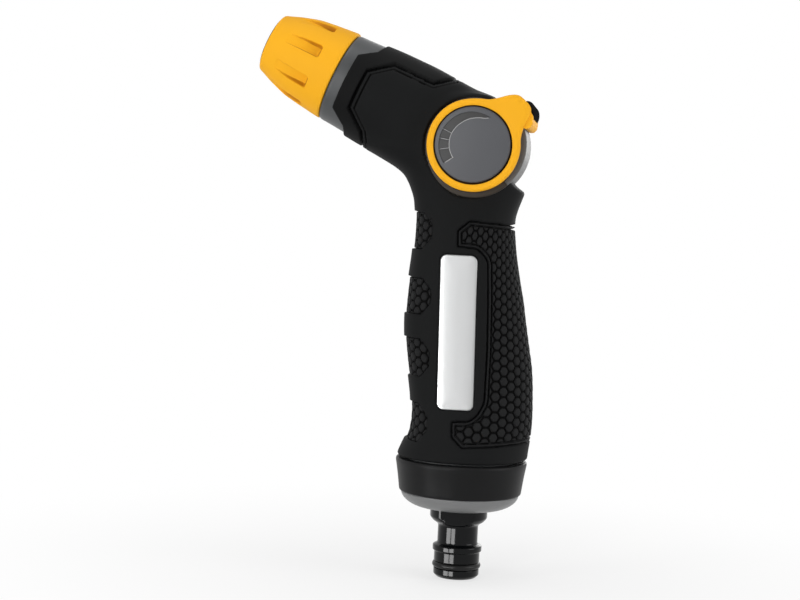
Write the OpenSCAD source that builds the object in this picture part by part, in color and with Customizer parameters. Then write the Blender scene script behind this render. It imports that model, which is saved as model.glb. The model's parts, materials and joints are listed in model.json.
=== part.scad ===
// Hose spray nozzle with a thumb-lever valve and a twist nozzle.
// Origin: centre of the inlet spigot's end face. +Z runs up the handle, the nozzle points
// towards -X and up, and the thumb lever is on the +X side. The valve axis lies along Y.

/* [Inlet connector] */
// Radius of the water passage through the inlet and the riser tube
water_r = 4.5; // [3.5:0.1:5]
// Outer radius of the spigot
spigot_r = 8; // [7.6:0.1:8.2]
// Outer radius of the latch flange
flange_r = 8.6; // [8.5:0.1:9.4]
// Length of the straight land on the latch flange
flange_land = 1.8; // [1.4:0.1:2.4]
// Height of the latch flange's middle above the spigot's end
flange_z = 10.4; // [9.6:0.1:11.2]
// Radius of the latch neck above the flange
neck_r = 7.05; // [6.6:0.05:7.4]
// Thickness of the inlet O-ring
inlet_ring_t = 2.3; // [2:0.1:2.5]
// Radius of the spanner collar
collar_r = 10.05; // [9.4:0.05:10.8]
// Width across the spanner flats
collar_flats = 16; // [15.4:0.1:17]
// Height of the spanner collar's top above the spigot's end
collar_z = 24.5; // [23.5:0.1:26]
// Radius of the inlet's shank inside the base
shank_r = 9; // [8.6:0.1:9.4]

/* [Base] */
// Radius of the ring that joins the base ring, the cap and the handle
base_spigot_r = 19.4; // [18.8:0.1:19.8]
// Visible height of the grey base ring
base_ring_h = 5.5; // [4.5:0.1:7]
// How far the grey base ring stands in from the cap's lower edge
base_ring_step = 0.5; // [0.3:0.1:0.8]
// Height of the base cap
base_cap_h = 11.7; // [10.5:0.1:13]
// Wall of the base cap round the joining ring, at its lower edge
base_cap_wall = 2.3; // [2.1:0.1:2.8]
// How much wider the base cap is at its upper edge
base_cap_flare = 1.5; // [1.2:0.1:2]

/* [Handle] */
// Height of the valve axis above the spigot's end
valve_z = 151; // [145:1:165]
// Depth of the handle from front to back at its waist
waist_depth = 34.8; // [33:0.2:38]
// Half width of the handle at its waist
waist_half_w = 17.4; // [17:0.1:19]
// How far the palm swell stands behind the valve axis
palm_x = 24.1; // [22:0.1:26]
// Thickness of the soft skin over the handle core
skin_t = 3; // [2.8:0.1:3.4]
// Wall of the hard handle core
core_wall = 2; // [1.6:0.1:2.6]
// Depth of the seats that the soft pads lie in
pad_seat = 2; // [1.8:0.1:2.1]
// Thickness of the soft pads
pad_t = 1.4; // [1.2:0.05:1.6]
// Width of the grooves around the soft pads
groove_w = 1.6; // [1.2:0.1:2]
// Width of the raised rim along the palm pad's edge
pad_rim_w = 1.3; // [1:0.1:1.8]
// Distance between the raised studs of the pads
stud_pitch = 6; // [5.4:0.1:7]
// Width of one stud across its flats
stud_w = 4.8; // [4:0.1:5.2]
// Width of the side plates
plate_w = 12.6; // [11:0.1:13]
// Length of the side plates
plate_h = 53; // [48:0.5:55]
// Thickness of the side plates
plate_t = 1.1; // [0.8:0.1:1.4]

/* [Valve] */
// Radius of the valve spool
spool_r = 12; // [11.6:0.1:12.4]
// Radius of the water port through the spool
port_r = 4; // [3:0.1:4.2]
// Outer radius of the valve barrel where it is bare
barrel_r = 18.2; // [17.8:0.1:18.4]
// Half length of the valve barrel
barrel_half = 16.6; // [16.2:0.1:17.2]
// Thickness of the barrel's end walls
end_wall = 2.6; // [2.2:0.1:3]
// Radius of the spool's hubs
hub_r = 8; // [7.4:0.1:8.6]
// Width of the square drives at the spool's ends
drive_w = 9.6; // [8.8:0.1:10.4]
// Radius of the lever screws' threads
screw_r = 1.6; // [1.4:0.1:1.9]

/* [Lever] */
// Outer radius of the lever's rings
lever_ring_r = 16.1; // [15.8:0.1:17]
// Radius of the seats for the hub discs
disc_seat_r = 13.3; // [12.8:0.1:13.6]
// Reach of the lever's lugs from the valve axis
lug_reach = 23.1; // [22.6:0.1:25]
// Thickness of the lever's rings
lever_arm_t = 4.1; // [3.8:0.1:4.6]
// Thickness of the web under each hub disc
lever_web_t = 2.2; // [2:0.1:2.4]
// Thickness of the thumb pad with its ribs
thumb_pad_t = 2; // [1.6:0.1:2.6]

/* [Head] */
// Angle of the head above the horizontal
head_angle = 24.2; // [20:0.2:30]
// Radius of the hard head tube under the skin
head_tube_r = 14.2; // [13.8:0.1:14.5]
// Distance from the valve axis to the seam between collar and sleeve
seam_s = 53.6; // [52:0.1:56]
// Outer radius of the head at that seam
seam_r = 15.75; // [15.6:0.05:16.4]

/* [Nozzle] */
// Distance from the valve axis to the tip of the nozzle
tip_s = 81; // [79:0.1:83]
// Radius of the nozzle's tip
tip_r = 10.7; // [10.5:0.1:11.4]
// Radius of the nozzle stem's journal
stem_r = 8.5; // [8.2:0.1:8.8]
// Radius of the bore through the nozzle stem
stem_bore_r = 6; // [5.6:0.1:6.2]
// Radius of the spray orifice
orifice_r = 2.1; // [1.9:0.1:2.6]
// How far the needle moves over the nozzle's whole twist
needle_travel = 4; // [3:0.1:4.2]
// Twist of the nozzle from jet to mist, in degrees
nozzle_twist = 150; // [120:5:150]
// Radius of the drive pin across the needle
pin_r = 1.2; // [1:0.05:1.3]

/* [Hidden] */

// Clearances
run_gap = 0.06;     // radial gap of a turning or sliding fit
seal_gap = 0.1;     // between the seat seal and the spool
face_gap = 0.2;     // between flat faces that turn past each other
soft_gap = 0.35;    // between pieces that move past each other without a fit
plate_gap = 0.25;   // around a plate in its recess
eps = 0.05;

// Radii of the base, from the joining ring outwards
base_cap_r = base_spigot_r + base_cap_wall;
base_cap_top_r = base_cap_r + base_cap_flare;
base_ring_r = base_cap_r - base_ring_step;

// Heights along the base
cap_z = collar_z + base_ring_h;
cap_top_z = cap_z + base_cap_h;
skin_z = cap_top_z + 0.9;
ring_spigot_z = cap_z + 8.2;
shank_top_z = collar_z + 11.5;
gasket_t = 1.6;
socket_z = shank_top_z + gasket_t + 2;
socket_depth = 10.4;
tube_r = water_r + 2;

// Heights along the valve
deck_z = valve_z - 19;
deck_t = 2.5;
deck_r = 14;
deck_x = -2.6;
seat_pocket_r = tube_r + 0.9;
socket_wall = 2;
tube_top_z = valve_z - 22;
spring_z = tube_top_z + 1.6;
seal_z = valve_z - spool_r - 3.4;
spool_half = barrel_half - end_wall - face_gap;
bare_from = -112;   // where the bare part of the barrel starts, in degrees
lever_from = -46;   // the lever's swing, in degrees about the valve axis
lever_to = 74;

// Places along the head, measured from the valve axis
tube_end_s = 38;
spigot_end_s = 46;
spigot_s_r = 12.2;
band_seat_r = 15.2;
stem_root_s = 27;
shoulder_s = seam_s + 0.6;
shoulder_r = 10.6;
hub_len = 5.6;
hub_s = shoulder_s + 0.1;
clip_s = hub_s + hub_len + 0.15;
clip_t = 1.1;
clip_r = 10.2;
cam_s = clip_s + clip_t + 0.9;
cam_len = 10.4;
cam_r = 11.4;
stem_end_s = cam_s + cam_len + 0.9;
pin_s = cam_s + cam_len / 2 - needle_travel / 2;
needle_tip_s = tip_s - 4.4;
sleeve_bore_r = 12.9;
nose_r = 9;
nose_s = tip_s - 5;

// The handle's outline, lower sizes tied to the base and upper ones to the valve:
// height, front, back, half width
waist_front = deck_x - waist_depth / 2;
waist_back = deck_x + waist_depth / 2;
handle_stations = [
    [skin_z, -base_cap_top_r + 0.5, base_cap_top_r - 0.1, base_cap_top_r - 0.5],
    [skin_z + 4.4, -base_cap_top_r + 2.2, palm_x - 0.7, base_cap_top_r - 2.1],
    [skin_z + 13.4, -base_cap_top_r + 4.8, palm_x, waist_half_w + 1.5],
    [skin_z + 27, waist_front, palm_x - 0.5, waist_half_w + 0.9],
    [valve_z - 60, waist_front - 2, (palm_x + waist_back) / 2 + 0.8, waist_half_w + 0.7],
    [valve_z - 43, waist_front - 1.2, waist_back + 2.1, waist_half_w + 0.5],
    [valve_z - 25, waist_front, waist_back, waist_half_w],
    [valve_z - 16.2, waist_front - 1.7, waist_back + 2.4, waist_half_w - 0.2],
    [valve_z - 9, waist_front - 7.4, waist_back, waist_half_w - 0.4],
    [valve_z - 3.3, waist_front - 16.7, waist_back - 2, waist_half_w - 0.8]];
core_stations = concat([[cap_top_z, skin_t - base_spigot_r, base_spigot_r + skin_t,
    base_spigot_r + skin_t] - [0, 2 * skin_t, 0, 0]],
    [for (p = handle_stations) if (p[0] < valve_z - 20) p],
    [[deck_z, waist_front - 0.8, waist_back + 1.2, waist_half_w - 0.1]]);

// The head's outline in its own frame: distance, radius
head_profile = [[0, seam_r + 1.85], [20, seam_r + 1.95], [30, seam_r + 1.75],
    [37.5, seam_r + 1.45], [43, seam_r + 1], [49, seam_r + 0.6]];

// Front pads: lower and upper edge of each, above the base of the skin
finger_rows = [[5.4, 20.6], [27.4, 41.6], [valve_z - skin_z - 59.1, valve_z - skin_z - 45.9],
    [valve_z - skin_z - 36.7, valve_z - skin_z - 23.4]];
finger_edge_x = -11.4;

plate_x = -2.2;
plate_mid_z = (skin_z + valve_z) / 2 - 10;
plate_y = waist_half_w + 0.1;

sides = 40;
steps = 2;

// ---- Shapes shared by several pieces ----

function power(v, e) = sign(v) * pow(abs(v), e);

// Smooth curve through the stations p between p[i] and p[i + 1]
function between(p, i, t) =
    let (a = p[max(i - 1, 0)], b = p[i], c = p[i + 1], d = p[min(i + 2, len(p) - 1)])
    0.5 * (2 * b + (c - a) * t + (2 * a - 5 * b + 4 * c - d) * t * t
        + (3 * b - a - 3 * c + d) * t * t * t);

// One rounded-oval ring of the loft, drawn inwards by inset
function oval(p, inset) =
    let (mid = (p[1] + p[2]) / 2, a = (p[2] - p[1]) / 2 - inset, b = p[3] - inset, e = 0.9)
    [for (k = [0 : sides - 1]) let (f = 360 * k / sides)
        [mid + a * power(cos(f), e), b * power(sin(f), e), p[0]]];

function rings(st, inset, past) = concat(
    past > 0 ? [oval(st[0] - [past, 0, 0, 0], inset)] : [],
    [for (i = [0 : len(st) - 2]) for (j = [0 : steps - 1]) oval(between(st, i, j / steps), inset)],
    [oval(st[len(st) - 1], inset)],
    past > 0 ? [oval(st[len(st) - 1] + [past, 0, 0, 0], inset)] : []);

function wall_faces(n, rows, from, flip) = [
    for (r = [0 : rows - 2]) for (k = [0 : n - 1])
        let (a = from + r * n + k, b = from + r * n + (k + 1) % n)
        flip ? [a, b, b + n, a + n] : [a, a + n, b + n, b]];

// Solid loft through the stations
module loft(st, inset = 0, past = 0) {
    r = rings(st, inset, past);
    rows = len(r);
    polyhedron([for (q = r) each q], concat(wall_faces(sides, rows, 0, false),
        [[for (k = [0 : sides - 1]) k]],
        [[for (k = [sides - 1 : -1 : 0]) (rows - 1) * sides + k]]));
}

// Hollow loft, open at both ends
module loft_tube(st, outer, inner) {
    o = rings(st, outer, 0);
    i = rings(st, inner, 0);
    rows = len(o);
    skip = rows * sides;
    top = (rows - 1) * sides;
    polyhedron(concat([for (q = o) each q], [for (q = i) each q]), concat(
        wall_faces(sides, rows, 0, false), wall_faces(sides, rows, skip, true),
        [for (k = [0 : sides - 1]) let (m = (k + 1) % sides) [k, m, skip + m, skip + k]],
        [for (k = [0 : sides - 1]) let (m = (k + 1) % sides)
            [top + k, skip + top + k, skip + top + m, top + m]]));
}

// Cylinder along Y, centred on the valve axis
module barrel_cyl(r, y0, y1, fn = 96) {
    translate([0, y1, valve_z])
        rotate([90, 0, 0])
            cylinder(r = r, h = y1 - y0, $fn = fn);
}

// The head's frame: local Z runs out along the nozzle, local X is up
module head_frame() {
    translate([0, 0, valve_z])
        rotate([0, head_angle - 90, 0])
            children();
}

module head_cyl(r, s0, s1, fn = 96) {
    translate([0, 0, s0])
        cylinder(r = r, h = s1 - s0, $fn = fn);
}

// Plate cut to an outline in the XZ plane, through the whole width
module side_prism(w = 60) {
    rotate([90, 0, 0])
        translate([0, 0, -w / 2])
            linear_extrude(w)
                children();
}

module o_ring(mid_r, t) {
    rotate_extrude($fn = 72)
        translate([mid_r, 0])
            circle(d = t, $fn = 24);
}

// ---- Inlet and base ----

module inlet_nipple() {
    ring_r = flange_r - 0.1;
    color("#1b1c1d")
        difference() {
            rotate_extrude($fn = 96)
                polygon([[water_r, 0], [spigot_r - 0.9, 0], [spigot_r, 0.9], [spigot_r, 3.2],
                    [ring_r - inlet_ring_t, 3.2], [ring_r - inlet_ring_t, 5.6], [spigot_r, 5.6],
                    [spigot_r, flange_z - flange_land / 2 - 0.3],
                    [flange_r, flange_z - flange_land / 2],
                    [flange_r, flange_z + flange_land / 2],
                    [neck_r, flange_z + flange_land / 2 + 0.8],
                    [neck_r, collar_z - 6], [collar_r - 1.2, collar_z - 4.6],
                    [collar_r, collar_z - 3.4], [collar_r, collar_z], [shank_r, collar_z],
                    [shank_r, shank_top_z], [water_r, shank_top_z]]);
            for (side = [-1, 1])
                translate([-2 * collar_r, side > 0 ? collar_flats / 2 : -collar_flats / 2 - 5,
                    collar_z - 6])
                    cube([4 * collar_r, 5, 6 - eps]);
        }
}

module inlet_o_ring() {
    color("#0e0e0f")
        translate([0, 0, 4.4])
            o_ring(flange_r - 0.1 - inlet_ring_t / 2, inlet_ring_t);
}

module nipple_gasket() {
    color("#161616")
        translate([0, 0, shank_top_z])
            rotate_extrude($fn = 72)
                translate([water_r + 0.2, 0])
                    square([shank_r - water_r - 0.3, gasket_t]);
}

module base_ring() {
    hub_r_out = shank_r + 2.4;
    color("#8d8f91")
        difference() {
            rotate_extrude($fn = 96)
                polygon(concat([[shank_r, collar_z], [collar_r + 1, collar_z]],
                    [for (a = [-75 : 15 : 0]) [collar_r + 1 + (base_ring_r - collar_r - 1) * cos(a),
                        cap_z + (base_ring_h - 0.5) * sin(a)]],
                    [[base_spigot_r, cap_z], [base_spigot_r, ring_spigot_z],
                    [base_spigot_r - 2.2, ring_spigot_z], [base_spigot_r - 2.2, cap_z],
                    [hub_r_out, cap_z - 1], [hub_r_out, socket_z + socket_depth],
                    [water_r, socket_z + socket_depth], [water_r, shank_top_z + gasket_t],
                    [shank_r, shank_top_z + gasket_t]]));
            translate([0, 0, socket_z])
                cylinder(r = tube_r, h = socket_depth + 1, $fn = 72);
            translate([0, 0, socket_z + 4])
                cylinder(r = tube_r + 1.1, h = 2, $fn = 72);
        }
}

module base_cap() {
    color("#232426")
        rotate_extrude($fn = 120)
            polygon(concat([[base_spigot_r, cap_z], [base_cap_r, cap_z]],
                [for (k = [1 : 5]) [base_cap_r + (base_cap_top_r - base_cap_r) * sin(k * 16),
                    cap_z + (base_cap_h - 1) * k / 5]],
                [[base_cap_top_r - 1, cap_top_z], [base_spigot_r - 2.2, cap_top_z],
                [base_spigot_r - 2.2, ring_spigot_z], [base_spigot_r, ring_spigot_z]]));
}

module handle_core() {
    color("#77797c")
        loft_tube(core_stations, skin_t, skin_t + core_wall);
}

module water_tube() {
    color("#d9dcdc")
        translate([0, 0, socket_z])
            rotate_extrude($fn = 72)
                translate([water_r, 0])
                    square([tube_r - water_r, tube_top_z - socket_z]);
}

module tube_o_rings() {
    color("#101010")
        for (z = [socket_z + 5, tube_top_z - 4])
            translate([0, 0, z])
                o_ring(tube_r + 0.55, 1.08);
}

// ---- Valve ----

// What the valve body fills under the skin
module valve_envelope(grow = 0) {
    barrel_cyl(lever_ring_r - 0.5 + grow, -barrel_half, barrel_half);
    intersection() {
        barrel_cyl(barrel_r + grow, -barrel_half, barrel_half);
        valve_sector(bare_from, lever_to);
    }
    head_frame()
        head_cyl(head_tube_r + grow, 0, tube_end_s);
    translate([deck_x, 0, deck_z])
        cylinder(r = deck_r, h = deck_t, $fn = 96);
    translate([0, 0, deck_z])
        cylinder(r = deck_r - 1.5, h = 12, $fn = 96);
    intersection() {
        translate([-8, 0, valve_z - 10.5])
            sphere(r = 12.4, $fn = 64);
        translate([-40, -40, deck_z])
            cube([80, 80, 40]);
    }
}

// Sector about the valve axis between two angles, through the whole width
module valve_sector(a0, a1) {
    far = 60;
    steps_a = 6;
    side_prism()
        translate([0, valve_z])
            polygon(concat([[0, 0]], [for (k = [0 : steps_a])
                let (a = a0 + (a1 - a0) * k / steps_a) far * [cos(a), sin(a)]]));
}

module valve_body() {
    color("#9c9d9e")
        difference() {
            union() {
                valve_envelope();
                head_frame()
                    head_cyl(spigot_s_r, tube_end_s - 1, spigot_end_s);
                translate([0, 0, tube_top_z - 8])
                    cylinder(r = seat_pocket_r + socket_wall, h = 16, $fn = 96);
            }
            barrel_cyl(spool_r + run_gap, -barrel_half + end_wall, barrel_half + 1);
            barrel_cyl(hub_r + run_gap, -barrel_half - 1, 0);
            head_frame()
                head_cyl(port_r, 0, stem_root_s + 1);
            head_frame()
                head_cyl(stem_r, stem_root_s, spigot_end_s + 1);
            translate([0, 0, tube_top_z - 9])
                cylinder(r = tube_r, h = 12, $fn = 72);
            translate([0, 0, tube_top_z - 5])
                cylinder(r = tube_r + 1.1, h = 2, $fn = 72);
            translate([0, 0, tube_top_z])
                cylinder(r = seat_pocket_r, h = valve_z - tube_top_z, $fn = 72);
        }
}

// Coil spring drawn as one swept tube
module seat_spring() {
    turns = 2.5;
    wire = 0.9;
    coil_r = tube_r - 0.6;
    rise = seal_z - spring_z - wire;
    n = 40;
    m = 6;
    color("#b9bcbe")
        translate([0, 0, spring_z + wire / 2])
            polyhedron([for (i = [0 : n]) let (a = 360 * turns * i / n)
                for (k = [0 : m - 1]) let (b = 360 * k / m, r = coil_r + wire / 2 * cos(b))
                    [r * cos(a), r * sin(a), rise * i / n + wire / 2 * sin(b)]],
                concat([[for (k = [m - 1 : -1 : 0]) k]],
                    [for (i = [0 : n - 1]) for (k = [0 : m - 1])
                        let (p = i * m + k, q = i * m + (k + 1) % m) [p, q, q + m, p + m]],
                    [[for (k = [0 : m - 1]) n * m + k]]));
}

module seat_seal() {
    color("#1a1a1b")
        difference() {
            translate([0, 0, seal_z])
                cylinder(r = seat_pocket_r - 0.1, h = 6, $fn = 72);
            translate([0, 0, seal_z - 1])
                cylinder(r = port_r, h = 10, $fn = 72);
            barrel_cyl(spool_r + seal_gap, -20, 20);
        }
}

module valve_spool() {
    groove_y = spool_half - 2.4;
    turn_up = 4.6;
    color("#e6e2d6")
        difference() {
            union() {
                barrel_cyl(spool_r, -spool_half, spool_half);
                barrel_cyl(hub_r, -barrel_half - face_gap, barrel_half + face_gap);
                translate([-drive_w / 2, -barrel_half - lever_web_t + 0.6,
                    valve_z - drive_w / 2])
                    cube([drive_w, 2 * (barrel_half + lever_web_t - 0.6), drive_w]);
            }
            translate([0, 0, valve_z - spool_r - 1])
                cylinder(r = port_r, h = spool_r + 1 + turn_up, $fn = 72);
            head_frame()
                head_cyl(port_r - 0.3, 0, spool_r + 1);
            for (y = [-groove_y, groove_y])
                difference() {
                    barrel_cyl(spool_r + 1, y - 0.9, y + 0.9);
                    barrel_cyl(spool_r - 1.5, y - 2, y + 2);
                }
            barrel_cyl(screw_r, -barrel_half - 4, -barrel_half + 8, 48);
            barrel_cyl(screw_r, barrel_half - 8, barrel_half + 4, 48);
        }
}

module spool_o_rings() {
    groove_y = spool_half - 2.4;
    color("#101010")
        for (y = [-groove_y, groove_y])
            translate([0, y, valve_z])
                rotate([90, 0, 0])
                    o_ring(spool_r - 0.74, 1.5);
}

module spool_retainer() {
    color("#6d7073")
        difference() {
            barrel_cyl(spool_r + run_gap, barrel_half - end_wall, barrel_half);
            barrel_cyl(hub_r + run_gap, 0, barrel_half + 1);
        }
}

// ---- Lever ----

arm_in = barrel_half + face_gap;
arm_out = arm_in + lever_arm_t;
web_out = arm_in + lever_web_t;
bridge_in = barrel_r + 0.6;
bridge_out = lug_reach - 0.7;

// Outline of a lever arm: a ring with a lug that swells out of it
module lever_outline() {
    swell = [[74, 0], [64, 0.34], [55, 0.68], [49, 0.93], [42, 1], [34.5, 1],
        [29.6, 0.82], [25, 0.5], [18.6, 0.16], [10, 0]];
    circle(r = lever_ring_r, $fn = 96);
    polygon(concat([[0, 0]], [for (p = [for (k = [len(swell) - 1 : -1 : 0]) swell[k]])
        (lever_ring_r + p[1] * (lug_reach - lever_ring_r)) * [cos(p[0]), sin(p[0])]]));
}

// Sector between two radii and two angles less than 90 degrees apart
module sector(r0, r1, a0, a1) {
    difference() {
        intersection() {
            circle(r = r1, $fn = 96);
            polygon([[0, 0], for (a = [a0, (a0 + a1) / 2, a1]) 2 * r1 * [cos(a), sin(a)]]);
        }
        circle(r = r0, $fn = 96);
    }
}

module lever_yoke() {
    color("#f5b51c")
        difference() {
            union() {
                for (side = [-1, 1])
                    translate([0, side > 0 ? arm_out : -arm_in, valve_z])
                        rotate([90, 0, 0])
                            linear_extrude(lever_arm_t)
                                lever_outline();
                translate([0, arm_out - 1, valve_z])
                    rotate([90, 0, 0])
                        linear_extrude(2 * arm_out - 2)
                            sector(bridge_in, bridge_out, 21, 50);
            }
            barrel_cyl(disc_seat_r, web_out, arm_out + 1);
            barrel_cyl(disc_seat_r, -arm_out - 1, -web_out);
            translate([-drive_w / 2 - 0.05, -arm_out, valve_z - drive_w / 2 - 0.05])
                cube([drive_w + 0.1, 2 * arm_out, drive_w + 0.1]);
        }
}

module thumb_pad() {
    half = arm_in - 1.2;
    ribs = 6;
    color("#1d1e1f")
        translate([0, half, valve_z])
            rotate([90, 0, 0])
                linear_extrude(2 * half) {
                    sector(bridge_out, bridge_out + thumb_pad_t - 0.8, 23, 47);
                    for (k = [0 : ribs - 1])
                        let (a = 24.2 + 3.9 * k)
                            sector(bridge_out, bridge_out + thumb_pad_t, a, a + 2.1);
                }
}

module lever_screws() {
    color("#c8cacc")
        for (side = [-1, 1])
            translate([0, 0, valve_z])
                rotate([side * 90, 0, 0])
                    translate([0, 0, -web_out]) {
                        cylinder(r = screw_r, h = 8.6, $fn = 48);
                        translate([0, 0, -0.9])
                            difference() {
                                cylinder(r = drive_w / 2 + 1.6, h = 0.9, $fn = 64);
                                for (a = [0, 90])
                                    rotate([0, 0, a])
                                        translate([-2, -0.35, -eps])
                                            cube([4, 0.7, 0.5]);
                            }
                    }
}

// Snap-in hub cover with an embossed flow scale
module hub_disc() {
    disc_t = arm_out - web_out;
    r = disc_seat_r - 0.15;
    difference() {
        union() {
            cylinder(r = r, h = disc_t - 0.1, $fn = 96);
            translate([0, 0, disc_t - 0.1])
                cylinder(r1 = r, r2 = r - 0.6, h = 0.3, $fn = 96);
        }
        translate([0, 0, -eps])
            cylinder(r = drive_w / 2 + 2, h = 1.05, $fn = 64);
        translate([0, 0, disc_t - 0.15])
            linear_extrude(1) {
                sector(8.1, 11.05, 155.5, 168.5);
                sector(8.1, 11.05, 171.5, 188.5);
                sector(8.1, 11.05, 193, 213);
                scale_crescent();
            }
    }
}

// Flow mark that thins out from full width to a point
module scale_crescent() {
    n = 12;
    polygon(concat([for (k = [0 : n]) let (a = 57 + 95.5 * k / n) 11.05 * [cos(a), sin(a)]],
        [for (k = [n : -1 : 0]) let (a = 57 + 95.5 * k / n)
            (10.8 - 2.7 * sin(90 * k / n)) * [cos(a), sin(a)]]));
}

module hub_disc_left() {
    color("#5f6064")
        translate([0, -web_out, valve_z])
            rotate([90, 0, 0])
                hub_disc();
}

module hub_disc_right() {
    color("#5f6064")
        translate([0, web_out, valve_z])
            rotate([-90, 0, 0])
                mirror([0, 1, 0])
                    hub_disc();
}

// ---- Grip ----

// Outline of one front pad seen from the side, with cut corners
module finger_outline(row, inset) {
    z0 = skin_z + row[0] + inset;
    z1 = skin_z + row[1] - inset;
    x = finger_edge_x - inset;
    cut = 3.2 - inset / 2;
    hull() {
        translate([-40, z0])
            square([40 + x - cut, z1 - z0]);
        translate([x - 1, z0 + cut])
            square([1, z1 - z0 - 2 * cut]);
    }
}

// Outline of the palm pad: it passes behind the plate and hooks round both its ends
module palm_outline() {
    edge = plate_x + plate_w / 2 + 3.4;
    top = valve_z - 25.8;
    low = skin_z + 5.6;
    polygon([[40, top], [0.5, top], [-3.9, top - 3.8], [-3.9, top - 9.8], [3.2, top - 10.1],
        [edge - 0.7, top - 13.6], [edge + 0.3, low + 22], [edge - 0.2, low + 12],
        [-3, low + 9.2], [-2.6, low + 3.4], [1.2, low], [40, low + 3]]);
}

module plate_outline(grow) {
    r = 1.8;
    w = plate_w / 2 - r;
    h = plate_h / 2 - r;
    hull()
        for (x = [-w, w])
            for (z = [-h, h])
                translate([plate_x + x - 0.022 * z, plate_mid_z + z])
                    circle(r = r + grow, $fn = 24);
}

// Skin of the handle, the elbow and the head, before anything is cut out of it
module skin_solid() {
    loft(handle_stations);
    head_frame()
        rotate_extrude($fn = 64)
            polygon(concat([[0, 0]], [for (p = head_profile) [p[1], p[0]]], [[0, 49]]));
    barrel_cyl(seam_r + 1.85, -barrel_half, barrel_half, 64);
}

module band_outline() {
    top = tube_end_s;
    polygon([[-25, 60], [-25, top - 1.2], [-17, top - 1.2], [-8.3, top + 5.8], [6.4, top + 5.8],
        [12.5, top - 2], [13.2, 21], [18, 17.6], [25, 14], [25, 60]]);
}

module grip_skin() {
    color("#202123")
        difference() {
            skin_solid();
            loft(core_stations, skin_t);
            valve_envelope();
            head_frame()
                head_cyl(band_seat_r, tube_end_s, seam_s, 64);
            valve_sector(lever_from, lever_to);
            for (side = [-1, 1])
                scale([1, side, 1])
                    barrel_cyl(lever_ring_r + soft_gap, barrel_half, arm_out + 5, 96);
            head_frame()
                side_prism()
                    offset(delta = groove_w)
                        band_outline();
            difference() {
                union() {
                    for (row = finger_rows)
                        side_prism()
                            finger_outline(row, 0);
                    side_prism()
                        palm_outline();
                }
                loft(handle_stations, pad_seat, 1);
            }
            for (side = [-1, 1])
                scale([1, side, 1])
                    translate([0, plate_y + 10, 0])
                        side_prism(20 + 2 * plate_t)
                            plate_outline(plate_gap);
        }
}

// How far under the handle's surface the pads' ground lies, and their rim and studs
pad_floor = pad_seat - pad_t;
stud_top = 0.1;

// Heights of the handle against the run through its stations
handle_run = [for (i = [0 : len(handle_stations) - 2]) for (t = [0 : 0.1 : 0.9])
    [between(handle_stations, i, t)[0], i + t]];

// Point on the handle at a height and an angle from the back, drawn inwards by inset
function on_handle(z, f, inset) =
    let (u = lookup(z, handle_run), i = floor(u), p = between(handle_stations, i, u - i))
    [(p[1] + p[2]) / 2 + ((p[2] - p[1]) / 2 - inset) * power(cos(f), 0.9),
        (p[3] - inset) * power(sin(f), 0.9), p[0]];

// Six-sided stud that stands square to the handle, rooted in its pad
module stud(z, f) {
    root = pad_floor + 0.6;
    n = cross(on_handle(z, f + 3, root) - on_handle(z, f - 3, root),
        on_handle(z + 1, f, root) - on_handle(z - 1, f, root));
    translate(on_handle(z, f, root))
        rotate([0, acos(n[2] / norm(n)), atan2(n[1], n[0])])
            rotate([0, 0, 30])
                cylinder(r = stud_w / sqrt(3), h = root - stud_top, $fn = 6);
}

module finger_pads() {
    color("#19191b") {
        intersection() {
            for (row = finger_rows)
                side_prism()
                    finger_outline(row, groove_w / 2);
            difference() {
                loft(handle_stations, pad_floor);
                loft(handle_stations, pad_seat, 1);
            }
        }
        for (row = finger_rows)
            let (mid = skin_z + (row[0] + row[1]) / 2)
                for (k = [-2 : 2])
                    for (up = k % 2 == 0 ? [-0.5, 0.5] : [0])
                        stud(mid + up * stud_pitch, 180 + 15 * k);
    }
}

module palm_pad() {
    edge = plate_x + plate_w / 2 + 3.7 + groove_w + pad_rim_w;
    low = skin_z + 10.6 + pad_rim_w + stud_w / 2;
    high = valve_z - 25.8 - groove_w - pad_rim_w - stud_w / 2;
    color("#19191b") {
        difference() {
            intersection() {
                side_prism()
                    offset(delta = -groove_w)
                        palm_outline();
                difference() {
                    loft(handle_stations, stud_top);
                    loft(handle_stations, pad_seat, 1);
                }
            }
            difference() {
                side_prism()
                    offset(delta = -groove_w - pad_rim_w)
                        palm_outline();
                loft(handle_stations, pad_floor, 1);
            }
        }
        for (k = [-4 : 4])
            for (z = [low + (k % 2 == 0 ? 0 : stud_pitch / 2) : stud_pitch : high])
                if (on_handle(z, 15 * k, 0)[0] > edge + stud_w / 2)
                    stud(z, 15 * k);
    }
}

module side_plate() {
    translate([0, plate_y - plate_t / 2, 0])
        side_prism(plate_t)
            plate_outline(0);
}

module side_plate_left() {
    color("#d6d8d8")
        mirror([0, 1, 0])
            side_plate();
}

module side_plate_right() {
    color("#d6d8d8")
        side_plate();
}

// ---- Head and nozzle ----

module head_band() {
    color("#1e2022")
        head_frame()
            difference() {
                rotate_extrude($fn = 96)
                    polygon(concat([[head_tube_r, 12]], [for (p = head_profile)
                        [p[1], max(p[0], 12)]], [[band_seat_r, 49], [band_seat_r, tube_end_s],
                        [head_tube_r, tube_end_s]]));
                side_prism()
                    difference() {
                        translate([-40, 0])
                            square([80, 70]);
                        band_front();
                    }
            }
}

// Everything behind the band's six-sided front edge
module front_edge() {
    far = 2 * seam_r;
    polygon([[-far, 0], [-far, 43], [-17, 43], [-10, 49], [10, 49], [17, 43], [far, 43],
        [far, 0]]);
}

// Band outline with its front edge
module band_front() {
    intersection() {
        band_outline();
        front_edge();
    }
}

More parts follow.
